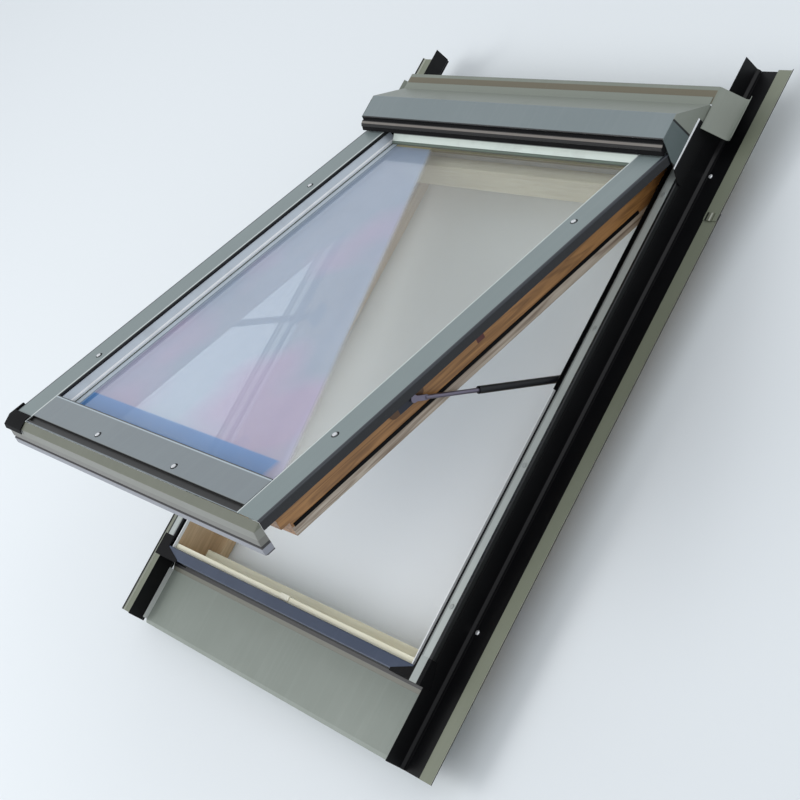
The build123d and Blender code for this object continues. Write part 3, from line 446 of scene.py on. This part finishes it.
# Painted shade along the hood's front edge, at the end plates' fold and along the top of the front strip
HOOD_FRONT_SHADE, HOOD_BACK = {"along": (404, 407)}, {"along": (453, 520)}
END_FRONT, END_FOLD_SHADE, END_BACK = {"along": (380, 387.5)}, {"along": (438.5, 442)}, {"along": (442, 520)}
STRIP_LOWER, STRIP_UPPER_SHADOW = {"along": (380, 393.6)}, {"along": (397.8, 401)}
# The valley is painted browner and darker
HEAD_VALLEY = {"side": (0, 392), "along": (505, 529)}
hood_metal = coated_metal(
    "hood_metal", srgb(118, 129, 131), srgb(160, 166, 168), gloss=0.34,
    zones=[(BLACK, HOOD_FRONT_SHADE), (OLIVE_GREY, HOOD_BACK)])
# The end plates' darker colour is painted shade
hood_side_metal = coated_metal(
    "hood_side_metal", srgb(78, 90, 90), srgb(120, 130, 130), gloss=0.34,
    zones=[(srgb(126, 131, 122), END_BACK), (BLACK, END_FOLD_SHADE), (srgb(10, 11, 13), END_FRONT)])
hood_strip_metal = coated_metal(
    "hood_strip_metal", srgb(118, 112, 106), srgb(170, 176, 176), gloss=0.34, shine=0.3,
    zones=[(BLACK, STRIP_LOWER), (BLACK, STRIP_UPPER_SHADOW)])
head_metal = coated_metal(
    "head_sheet_metal", srgb(122, 128, 118), srgb(160, 164, 156), gloss=0.4, dust=0.2,
    zones=[(srgb(104, 98, 80), HEAD_VALLEY)])
print("finishes so far:", len(finishes))

# %% [markdown]
# ## Timber
#
# Lacquered pine shows its grain. Grain could be a picture of a plank, but a picture repeats and
# needs unwrapping. Here it is noise that is pulled out along the length of the board, so the
# material has to know which way the board runs. Broad bands give the growth rings, and fine
# streaks in them give the pores. A sine turns one slow noise into many rings, as on a sawn
# board. The lacquer adds an even satin gloss with a little ripple.

# %% Timber
STRETCH = {"x": (1.5, 34, 34), "y": (34, 1.5, 34)}
RINGS, PORES, BLUSH = 1.6, 1.3, 5.0
RING_TURNS, FINER = 34.0, 6


def timber(name, dark, light, length_axis, leaning=False, contrast=0.75, zones=()):
    finish = Finish(name, IOR=1.48, Coat_Roughness=0.25)
    stretch = STRETCH[length_axis]
    rings = finish.noise(finish.place(leaning, scale=stretch), RINGS, detail=3.0, distortion=1.1)
    pores = finish.noise(finish.place(leaning, scale=tuple(FINER * s for s in stretch)), PORES, detail=4.0)
    waves = ((rings * RING_TURNS).sine() * 0.5 + 0.5) ** 1.6
    tone = (waves * 0.55 + finish.ramp(pores, 0.35, 0.7) * 0.45) * contrast
    blush = finish.noise(finish.place(leaning), BLUSH, detail=3.0)
    colour = finish.mix(tone.clamp(), painted(finish, light, zones, leaning), dark)
    colour = finish.mix(finish.ramp(blush, 0.45, 0.75) * 0.25, colour, dark)
    finish.feed(Base_Color=colour, Roughness=(tone * 0.18 + 0.4).clamp(), Coat_Weight=0.2)
    finish.bump(pores * 0.7 + waves * 0.3, 0.2, 0.6 * MM)
    return finish.material


print("timber ready")

# %% [markdown]
# ## Boards of the sash and of the frame
#
# The sash is stained brown. The lowest part of a stile's outer face is greyer, and half way down
# it has a small reddish notch. The top rail is paler than the stiles, as it looks through the
# glass. The frame's rails are pale and its stiles are browner and darker, partly their wood and
# partly painted shade, as they lie deeper in the shade than the rails, so that the two need a
# finish each. They would anyway, because their grain runs in different directions.

# %% Finishes of the boards
STAIN = srgb(86, 56, 28), srgb(178, 128, 74)
GREYER_FOOT = {"side": (336.6, 340), "out": (-64, -47)}
NOTCH = {"side": (336, 339), "along": (467, 483), "out": (-27, -16)}
stile_wood = timber(
    "sash_timber_long", *STAIN, "y", leaning=True,
    zones=[(srgb(190, 178, 162), GREYER_FOOT), (srgb(92, 26, 32), NOTCH)])
rail_wood = timber("sash_timber_wide", *STAIN, "x", leaning=True)
PALE = srgb(172, 162, 128), srgb(226, 220, 194)
head_wood = timber("sash_timber_head", *PALE, "x", leaning=True, contrast=0.4)
# The frame's stiles are browner and darker than the rails, partly as painted shade
frame_wood_long = timber("frame_timber_long", srgb(156, 126, 94), srgb(208, 182, 146), "y", contrast=0.45)
frame_wood_wide = timber("frame_timber_wide", srgb(218, 212, 180), srgb(244, 242, 220), "x", contrast=0.4)
print("timber finishes:", sum("timber" in finish.name for finish in finishes))

# %% [markdown]
# ## Rubber, plastic and lacquer
#
# Seals are dull black rubber, corner plugs are black plastic with a fine grain, and the stays are
# lacquered. All of them are dark, with a faint pale bloom and a grain that differs in size. A
# dark surface shows mostly what it mirrors, so `shine` is kept low where it has to look black.
# The brackets of the stays are dark blue, and those on the sash are painted brown towards their
# ends, a painted reflection of the timber beside them.

# %% Rubber, plastic and lacquer
BLOOM = 14.0


def dull_black(name, colour, gloss, grain_size, grain_depth, shine=0.3):
    finish = Finish(name, IOR=1.46, Specular_IOR_Level=shine)
    where = finish.place(leaning=False)
    grain = finish.noise(where, grain_size, detail=3.0)
    bloom = finish.ramp(finish.noise(where, BLOOM), 0.45, 0.8)
    tone = finish.mix(bloom * 0.04, colour, srgb(84, 84, 88))
    finish.feed(Base_Color=tone, Roughness=(gloss + grain * 0.2).clamp())
    finish.bump(grain, 0.25, grain_depth)
    return finish.material


# Painted reflection of the timber at the ends of the sash brackets
BRACKET_END_REFLECTION = srgb(92, 62, 34)
BRACKET_ENDS = {"along": (590, 616)}, {"along": (650, 670)}
rubber = dull_black("seal_rubber", srgb(8, 8, 10), 0.55, 900.0, 0.3 * MM, shine=0.12)
plastic = dull_black("corner_plastic", srgb(5, 5, 7), 0.5, 1500.0, 0.2 * MM, shine=0.12)
glazing_rubber = dull_black("glazing_rubber", srgb(84, 90, 84), 0.5, 900.0, 0.1 * MM)
stay_black = dull_black("stay_lacquer", srgb(14, 15, 20), 0.25, 700.0, 0.1 * MM, shine=0.5)
frame_bracket_navy = dull_black("frame_bracket_navy", srgb(26, 31, 46), 0.35, 500.0, 0.1 * MM, shine=0.5)
sash_bracket_navy = coated_metal(
    "sash_bracket_navy", srgb(24, 28, 44), srgb(60, 64, 84), gloss=0.35, leaning=True,
    zones=[(BRACKET_END_REFLECTION, end) for end in BRACKET_ENDS])
print("finishes so far:", len(finishes))

# %% [markdown]
# ## Bare and plated metal
#
# Beads and the spacer in the glass are satin aluminium, brackets and rods are plated steel that
# was rolled or drawn, and screws are bright. Drawn metal has fine lines along its length: noise
# whose scale is large across the piece and small along it. The beads are anodised nearly white,
# so they are hardly metallic for the shader. The long beads carry painted highlights on their crest
# and inner lip. The top bead's mint white is partly its own pale anodising and partly painted
# reflection of the sky, with painted shade along its rim under the cover.

# %% Bare and plated metal
LINES, STAINS = 3.0, 22.0
DRAWN_LONG, DRAWN_WIDE = (200, 4, 200), (4, 200, 200)
COARSE, EVEN, FINE = (40, 40, 40), (60, 60, 60), (90, 90, 90)


def bare_metal(name, colour, gloss, brush=EVEN, leaning=False, metal=1.0, zones=()):
    finish = Finish(name, Metallic=metal)
    lines = finish.noise(finish.place(leaning, scale=brush), LINES, detail=3.0)
    stain = finish.ramp(finish.noise(finish.place(leaning), STAINS), 0.5, 0.8)
    tone = finish.mix(stain * 0.2 + lines * 0.1, painted(finish, colour, zones, leaning), srgb(120, 116, 116))
    finish.feed(Base_Color=tone, Roughness=(gloss + lines * 0.16).clamp())
    finish.bump(lines, 0.1, 0.2 * MM)
    return finish.material


# Painted highlights on the long beads' crest and inner lip; painted shade on the top bead's rim
BEAD_CREST_HIGHLIGHT, BEAD_INNER_HIGHLIGHT = {"side": (321, 332), "out": (5, 12)}, {"side": (317, 321)}
TOP_BEAD_RIM_SHADE, TOP_BEAD_FOOT = {"out": (20.5, 23)}, {"along": (72.6, 76)}
long_bead_metal = bare_metal(
    "long_bead_metal", srgb(196, 206, 216), 0.4, DRAWN_LONG, leaning=True, metal=0.1,
    zones=[(srgb(255, 255, 255), BEAD_CREST_HIGHLIGHT), (srgb(238, 242, 246), BEAD_INNER_HIGHLIGHT)])
# The top bead's mint white is partly painted reflection of the sky
top_bead_metal = bare_metal(
    "top_bead_metal", srgb(232, 244, 236), 0.4, DRAWN_WIDE, leaning=True, metal=0.1,
    zones=[(srgb(90, 98, 96), TOP_BEAD_RIM_SHADE), (srgb(112, 128, 118), TOP_BEAD_FOOT)])
spacer_metal = bare_metal("spacer_aluminium", srgb(150, 154, 160), 0.35, COARSE, leaning=True)
steel = bare_metal("plated_steel", srgb(156, 152, 156), 0.28)
rod_steel = bare_metal("rod_steel", srgb(128, 122, 138), 0.3)
bright_steel = bare_metal("screw_steel", srgb(236, 238, 240), 0.2, FINE, metal=0.6)
painted_steel = bare_metal("painted_steel", srgb(170, 176, 174), 0.35, FINE, metal=0.2)
keep_metal = bare_metal("keep_metal", srgb(238, 236, 218), 0.4, FINE, metal=0.0)
print("finishes so far:", len(finishes))

# %% [markdown]
# ## Clear glass
#
# A window pane is clear, mirrors more and more of the sky towards grazing angles, and always
# holds a film. A Mix Shader between see-through and gloss says that directly: its factor is the
# mirror share plus the film. The mirror share is 4 percent head on and grows with the fifth
# power of the Layer Weight node's Facing. A Fresnel node looks like the natural choice, but on
# the far side of a pane it takes the light to be inside the glass, and gives a full mirror.

# %% A clear pane
HEAD_ON_SHARE, INNER_DUST = 0.04, 0.03


def pane(name):
    """The glossy side of a pane, with its mirror share and its dust as wires"""
    finish = Finish(name, Roughness=0.05, IOR=1.52, Coat_Weight=1.0, Coat_Roughness=0.01)
    facing = finish.node("ShaderNodeLayerWeight", sockets={"Blend": 0.5}, out="Facing")
    mirror = facing ** 5 * (1 - HEAD_ON_SHARE) + HEAD_ON_SHARE
    return finish, mirror, finish.noise(finish.place(leaning=True), 5.0, detail=5.0)


def see_through(finish, tint, share):
    """Lay the glossy side over clear glass, by the share of it that shows"""
    clear = finish.node("ShaderNodeBsdfTransparent", sockets={"Color": tint})
    gloss = Wire(finish.tree, finish.shader.outputs[0])
    blend = finish.node("ShaderNodeMixShader", sockets={0: share.clamp(), 1: clear, 2: gloss})
    plug(finish.tree, finish.tree.nodes["Material Output"].inputs["Surface"], blend)
    return finish.material


inner, mirror, dust = pane("inner_glass")
inner.feed(Base_Color=inner.mix(dust, srgb(214, 220, 226), srgb(190, 198, 206)))
inner_glass = see_through(inner, (0.985, 0.99, 0.99, 1), mirror + dust * INNER_DUST)
print("inner pane ready")

# %% [markdown]
# ## Painted reflection on the outer pane
#
# The outer pane carries a painted reflection of the sky, milky on the left of a slanting line,
# which runs from the head towards the right end of the bottom rail, and is nearly clear on the
# right of it. The painted reflection is blue grey with lilac patches. A blue band of painted
# reflection lies over the bottom rail, and a pale rim with a dark line shows the seal of the glass
# unit at both sides. The line is a straight one, so the mask is the distance across from it, and
# the rest are bands between two places.

# %% Painted reflection, blue band and rims of the outer pane
# Painted reflection of the sky left of the slanting line, and as a blue band over the bottom rail
REFLECTION_LINE_START, REFLECTION_LINE_SLOPE, REFLECTION_LINE_BLEND = (-168 * MM, 124 * MM), 0.661, 6 * MM
BLUE_REFLECTION_BAND, BLUE_REFLECTION_END = (817 * MM, 866 * MM), (275 * MM, 262 * MM)
RIM, RIM_LINE, HEAD_LINE = (303 * MM, 325 * MM), (301 * MM, 303.4 * MM), (74 * MM, 82 * MM)
REFLECTION_SHARE, DUST_SHARE, PATCH_SHARE, CLEAREST = 0.31, 0.14, 0.1, 0.03
BLUE_REFLECTION_SHARE, RIM_SHARE = 0.22, 0.5
outer, mirror, dust = pane("outer_glass")
across, along, _ = axes(outer, leaning=True)
beyond = across - REFLECTION_LINE_START[0] - (along - REFLECTION_LINE_START[1]) * REFLECTION_LINE_SLOPE
reflection_side = outer.ramp(beyond, REFLECTION_LINE_BLEND, -REFLECTION_LINE_BLEND)
patches = outer.ramp(outer.noise(outer.place(leaning=True), 3.2, detail=2.0), 0.47, 0.62)
blue_reflection = band(outer, along, *BLUE_REFLECTION_BAND, 1.5 * MM) * outer.ramp(across, *BLUE_REFLECTION_END)
rim = band(outer, abs(across), *RIM)
rim_line = band(outer, abs(across), *RIM_LINE)
head_line = band(outer, along, *HEAD_LINE)
# Colour of the painted reflection, blue grey with lilac patches
pane_tone = outer.mix(patches * 0.6, srgb(190, 206, 228), srgb(206, 178, 212))
for mask, tone in ((1 - reflection_side, srgb(230, 222, 206)), (blue_reflection, srgb(98, 146, 204)),
                   (head_line, srgb(150, 140, 104)), (rim, srgb(178, 190, 200)),
                   (rim_line, srgb(92, 108, 118))):
    pane_tone = outer.mix(mask, pane_tone, tone)
outer.feed(Base_Color=pane_tone)
# Share of the painted reflection, varied by dust and the lilac patches
reflection_share = reflection_side * (dust * DUST_SHARE + patches * PATCH_SHARE + REFLECTION_SHARE) + CLEAREST
trim = blue_reflection * BLUE_REFLECTION_SHARE + (rim + rim_line + head_line) * RIM_SHARE
outer_glass = see_through(outer, (0.98, 0.99, 0.985, 1), mirror + reflection_share + trim)
print("outer pane ready")

# %% [markdown]
# ## Which piece wears what
#
# The table below gives each solid its finish. Names that come in pairs are written once, with
# the side left off.

# %% Table of finishes
finish_of = {
    "apron": apron_paint, "bottom_glazing_bead": rubber, "bottom_sash_cover": wide_cover_metal,
    "channel_gaskets": gasket_rubber, "corner_plug": plastic, "cover_carriers": plastic,
    "cover_screws": bright_steel, "flange_clips": clip_metal, "frame_bottom_cover": sill_metal,
    "frame_bottom_rail": frame_wood_wide, "frame_corner_caps": cap_plastic, "frame_hinge_plates": steel,
    "frame_screws": painted_steel, "frame_stay_brackets": frame_bracket_navy, "frame_stile": frame_wood_long,
    "frame_top_rail": frame_wood_wide, "glazing_bead": long_bead_metal, "handle_base": steel,
    "head_flashing": head_metal, "hood_end": hood_side_metal, "hood_front_strip": hood_strip_metal,
    "hood_seal": rubber, "hood_top": hood_metal, "hood_wings": wing_metal, "inner_pane": inner_glass,
    "jamb_cover": jamb_metal, "lock_handle": steel, "lock_keep": keep_metal, "lock_tongue": steel,
    "lower_flange": olive_metal, "nose_ends": nose_metal, "outer_pane": outer_glass,
    "pane_spacer": spacer_metal, "roof_brackets": steel, "sash_bottom_rail": rail_wood,
    "sash_cover": side_cover_metal, "sash_hinge_pins": steel, "sash_nose": nose_metal,
    "sash_seals": rubber, "sash_stay_brackets": sash_bracket_navy, "sash_stile": stile_wood,
    "sash_top_rail": head_wood, "side_gutter": black_metal, "stay_rod": rod_steel,
    "stay_tube": stay_black, "top_glazing_bead": top_bead_metal, "top_sash_cover": wide_cover_metal,
    "upper_flange": olive_metal,
}


def finish_for(node):
    _, _, without_side = node.partition("_")
    return finish_of[node] if node in finish_of else finish_of[without_side]


print("names in the table:", len(finish_of))

# %% [markdown]
# ## Soft edges
#
# A solid from a construction model has knife edges, and real edges catch a thin line of light.
# The solid itself isn't touched. Each piece gets a twin: its mesh is copied, doubled corners are
# merged, flat areas are joined to single faces, and a Bevel modifier rounds what is left of the
# edges. Weighted normals then keep the flat faces flat. The twin rides on the same body and
# stands for the solid.

# %% A twin with rounded edges
SAME_CORNER = 0.01 * MM
FLAT_WITHIN, EDGE_FROM = math.radians(2), math.radians(28)
BEVEL_STEPS, LARGE_FACES_WIN = 2, 80


def twin(node, radius):
    mesh = frame["nodes"][node].data.copy()
    sculpt = bmesh.new()
    sculpt.from_mesh(mesh)
    bmesh.ops.remove_doubles(sculpt, verts=sculpt.verts, dist=SAME_CORNER)
    bmesh.ops.dissolve_limit(sculpt, angle_limit=FLAT_WITHIN, verts=sculpt.verts, edges=sculpt.edges)
    sculpt.to_mesh(mesh)
    sculpt.free()
    piece = bpy.data.objects.new(node + "_finished", mesh)
    bpy.context.collection.objects.link(piece)
    mesh.materials.clear()
    mesh.materials.append(finish_for(node))
    bevel = piece.modifiers.new("soft_edges", "BEVEL")
    bevel.width = radius
    bevel.segments = BEVEL_STEPS
    bevel.limit_method = "ANGLE"
    bevel.angle_limit = EDGE_FROM
    mesh.shade_smooth()
    keep = piece.modifiers.new("flat_stays_flat", "WEIGHTED_NORMAL")
    keep.keep_sharp = True
    keep.weight = LARGE_FACES_WIN
    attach(piece, body_of[node])
    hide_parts(node)
    return piece


print("twins can be made")

# %% [markdown]
# ## How soft each kind of edge is
#
# A planed board has a broken edge of more than a millimetre. Folded sheet is only as round as it
# is thick, a pane is ground a little, and small parts are sharper still. The pieces are sorted
# by how their names end, and what isn't timber, sheet or glass counts as small.

# %% Twins of all solids
PLANED_EDGE, FOLDED_EDGE, GROUND_EDGE, SHARP_EDGE = 1.2 * MM, 0.35 * MM, 0.4 * MM, 0.25 * MM
WOOD_ENDINGS = ("_stile", "_rail")
SHEET_ENDINGS = ("_cover", "_flange", "_gutter", "_end", "_bead", "apron", "hood_top", "head_flashing",
                 "hood_front_strip", "sash_nose", "nose_ends")
wooden = [node for node in body_of if node.endswith(WOOD_ENDINGS)]
sheets = [node for node in body_of if node.endswith(SHEET_ENDINGS)]
panes = ["outer_pane", "inner_pane"]
small = [node for node in body_of if node not in wooden + sheets + panes]
for group, radius in ((wooden, PLANED_EDGE), (sheets, FOLDED_EDGE), (panes, GROUND_EDGE),
                      (small, SHARP_EDGE)):
    for node in group:
        twin(node, radius)
print("twins:", len(wooden) + len(sheets) + len(panes) + len(small))

# %% [markdown]
# ## Finding the screws
#
# Each screw on the sash sits in a washer. Its place could be typed in again, but the solids know
# it: all screws are one mesh in which every screw is a loose island, so the middle of an
# island's box is a screw. The search starts at any corner and follows edges until none is new.

# %% Middles of the loose islands of a mesh
def islands(node):
    sculpt = bmesh.new()
    sculpt.from_mesh(frame["nodes"][node].data)
    bmesh.ops.remove_doubles(sculpt, verts=sculpt.verts, dist=SAME_CORNER)
    left, middles = set(sculpt.verts), []
    while left:
        stack, group = [left.pop()], []
        while stack:
            vert = stack.pop()
            group.append(vert.co.copy())
            near = {edge.other_vert(vert) for edge in vert.link_edges} & left
            left -= near
            stack.extend(near)
        low = Vector([min(p[k] for p in group) for k in range(3)])
        high = Vector([max(p[k] for p in group) for k in range(3)])
        middles.append((low + high) / 2)
    sculpt.free()
    return sorted(middles, key=lambda p: (round(p.x, 4), round(p.y, 4)))


print("screws on the sash:", len(islands("cover_screws")))

# %% [markdown]
# ## Turned rings
#
# Washers and rivets are turned parts, so a lathe makes them: a profile of radius and height runs
# round an axis. Blender's Screw modifier does that too. The loop below does it for all places at
# once, and the profile is closed, so that every ring is a solid without a hole in its skin.

# %% Rings from a profile
def as_piece(name, sculpt, finish, body):
    """A finished piece from a bmesh, riding on a body"""
    bmesh.ops.recalc_face_normals(sculpt, faces=sculpt.faces)
    mesh = bpy.data.meshes.new(name)
    sculpt.to_mesh(mesh)
    sculpt.free()
    mesh.materials.append(finish)
    piece = bpy.data.objects.new(name, mesh)
    bpy.context.collection.objects.link(piece)
    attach(piece, body)
    return piece


def bridge(sculpt, here, there):
    """Faces between two copies of a closed profile"""
    for k in range(len(here)):
        m = (k + 1) % len(here)
        sculpt.faces.new((here[k], there[k], there[m], here[m]))


def turned(name, profile, middles, tilt, finish, body, slot, steps=24):
    """Rings turned from a profile of (radius, height) in millimetres, one at each middle"""
    sculpt = bmesh.new()
    for middle in middles:
        rings = []
        for step in range(steps):
            angle = 2 * math.pi * step / steps
            spoke = Vector((math.cos(angle), math.sin(angle), 0))
            points = [spoke * (radius * MM) + Vector((0, 0, height * MM)) for radius, height in profile]
            rings.append([sculpt.verts.new(tilt @ point + middle) for point in points])
        for step in range(steps):
            bridge(sculpt, rings[step], rings[(step + 1) % steps])
    piece = as_piece(name, sculpt, finish, body)
    piece.data.shade_smooth()
    return piece


print("lathe ready")

# %% [markdown]
# ## Washers and rivets
#
# The sash screws sit in dished plastic washers, which keep rain out of the holes. Each gutter is
# held by two rivets with low domed heads. The washers lie on the covers, so their places are
# read on the sash and their height is the covers' face.

# %% Washers under the sash screws and rivets in the gutters
WASHER = ((3.4, -0.6), (6.2, -0.6), (6.4, -0.1), (5.6, 0.35), (4.4, 0.25), (3.4, -0.2))
RIVET = ((0.2, -0.5), (3.8, -0.5), (3.8, 0.8), (3.0, 1.7), (1.4, 2.2), (0.2, 2.3))
COVER_FACE = 29 * MM
RIVET_INSET, RIVET_PLACES, GUTTER_SHEET = 10 * MM, (-379 * MM, 412 * MM), 1 * MM
sash_screws = [read_sash(middle) for middle in islands("cover_screws")]
turned("sash_washers", WASHER, [on_sash(place.x, place.y, COVER_FACE) for place in sash_screws],
       Matrix.Rotation(-LEAN, 3, "X"), plastic, body_of["cover_screws"], slot_of["corner_plug"])
gutter_low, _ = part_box("right_side_gutter")
rivet_line, rivet_floor = gutter_low.x + RIVET_INSET, gutter_low.z + GUTTER_SHEET
for side, sign in (("left", -1), ("right", 1)):
    places = [Vector((sign * rivet_line, y, rivet_floor)) for y in RIVET_PLACES]
    turned(side + "_gutter_rivets", RIVET, places, Matrix.Identity(3), bright_steel,
           body_of["right_side_gutter"], slot_of["frame_screws"])
print("washers:", len(sash_screws), "rivets:", 2 * len(RIVET_PLACES))

# %% [markdown]
# ## Seal round the glass
#
# A soft seal lies between the glass and its beads and shows as a thin line all round. It is one
# strip with mitred corners. The profile stands at the four corners, each copy turned to its
# mitre by moving its points inward in both directions, and faces join each corner to the next.

# %% Seal round the glass
SEAL = ((-0.4, -0.1), (-0.4, 1.2), (0.2, 1.4), (0.8, 0.9), (1.2, 0.1))
SEAL_HALF, SEAL_START, SEAL_END, PANE_FACE = 318 * MM, 75 * MM, 863 * MM, 6 * MM
MITRES = ((-1, SEAL_START, 1), (1, SEAL_START, 1), (1, SEAL_END, -1), (-1, SEAL_END, -1))
sculpt = bmesh.new()
corners = []
for x_sign, start, down_sign in MITRES:
    corners.append([
        sculpt.verts.new(on_sash(
            x_sign * (SEAL_HALF - inward * MM), start + down_sign * inward * MM, PANE_FACE + up * MM))
        for inward, up in SEAL])
for k in range(len(corners)):
    bridge(sculpt, corners[k], corners[(k + 1) % len(corners)])
seal = as_piece("glazing_seal", sculpt, glazing_rubber, body_of["outer_pane"])
print("faces of the seal:", len(seal.data.polygons))

# %% [markdown]
# ## Floor
#
# The window lies on a plain pale floor, as on a bench. The floor is far larger than the window,
# so that its edge stays out of the picture, and it is dull, so that it mirrors nothing.

# %% Floor
FLOOR_SIZE = 40
bpy.ops.mesh.primitive_plane_add(size=FLOOR_SIZE, location=(0, 0, 0))
floor = bpy.context.object
floor.name = "floor"
floor_finish = Finish("floor_paper", Base_Color=srgb(226, 231, 234), Roughness=0.9)
floor.data.materials.append(floor_finish.material)
print("floor at z =", floor.location.z)

# %% [markdown]
# ## Lamps
#
# One large soft lamp at the left of the picture gives the shapes their shading, a weaker one
# above and behind the camera opens the shadows, and a slightly blue world fills in the rest like
# an open sky. Small lamps would need no more energy, but they draw hard shadows, which daylight
# under a hazy sky doesn't have.

# %% World and lamps
LAMP_AIM = Vector((0, 0, 0.2))
SKY_TINT, SKY_STRENGTH = (0.93, 0.96, 1.0, 1), 0.75
world = bpy.data.worlds.new("studio")
bpy.context.scene.world = world
world.use_nodes = True
world.node_tree.nodes["Background"].inputs["Color"].default_value = SKY_TINT
world.node_tree.nodes["Background"].inputs["Strength"].default_value = SKY_STRENGTH


def soft_lamp(name, place, size, power):
    data = bpy.data.lights.new(name, "AREA")
    data.size = size
    data.energy = power
    lamp = bpy.data.objects.new(name, data)
    bpy.context.collection.objects.link(lamp)
    lamp.location = place
    lamp.rotation_euler = (LAMP_AIM - Vector(place)).to_track_quat("-Z", "Y").to_euler()


soft_lamp("key", place=(-2.2, -2.4, 3.4), size=2.4, power=85)
soft_lamp("fill", place=(3.2, 1.6, 2.6), size=2.0, power=22)
print("lamps:", len(bpy.data.lights))

# %% [markdown]
# ## Camera
#
# The camera looks down on the window from its lower right. It is rolled, so that the window
# stands slanting in the picture, as on a slope. Place, aim, roll and lens were worked out
# together from the corners of the sash and the frame, as one view in perspective.

# %% Camera
CAMERA_PLACE = Vector((2.2261, -0.5339, 1.7928))
CAMERA_AIM = Vector((0.1667, -0.1114, 0.2))
CAMERA_ROLL = math.radians(54.94)
CAMERA_LENS, CAMERA_SENSOR = 76.4, 36
camera_data = bpy.data.cameras.new("camera")
camera_data.lens = CAMERA_LENS
camera_data.sensor_width = CAMERA_SENSOR
camera = bpy.data.objects.new("camera", camera_data)
bpy.context.collection.objects.link(camera)
look = (CAMERA_AIM - CAMERA_PLACE).to_track_quat("-Z", "Y").to_matrix().to_4x4()
camera.matrix_world = Matrix.Translation(CAMERA_PLACE) @ look @ Matrix.Rotation(-CAMERA_ROLL, 4, "Z")
bpy.context.scene.camera = camera
bpy.context.scene.view_settings.view_transform = "Standard"
print("camera distance:", round((CAMERA_AIM - CAMERA_PLACE).length, 3))
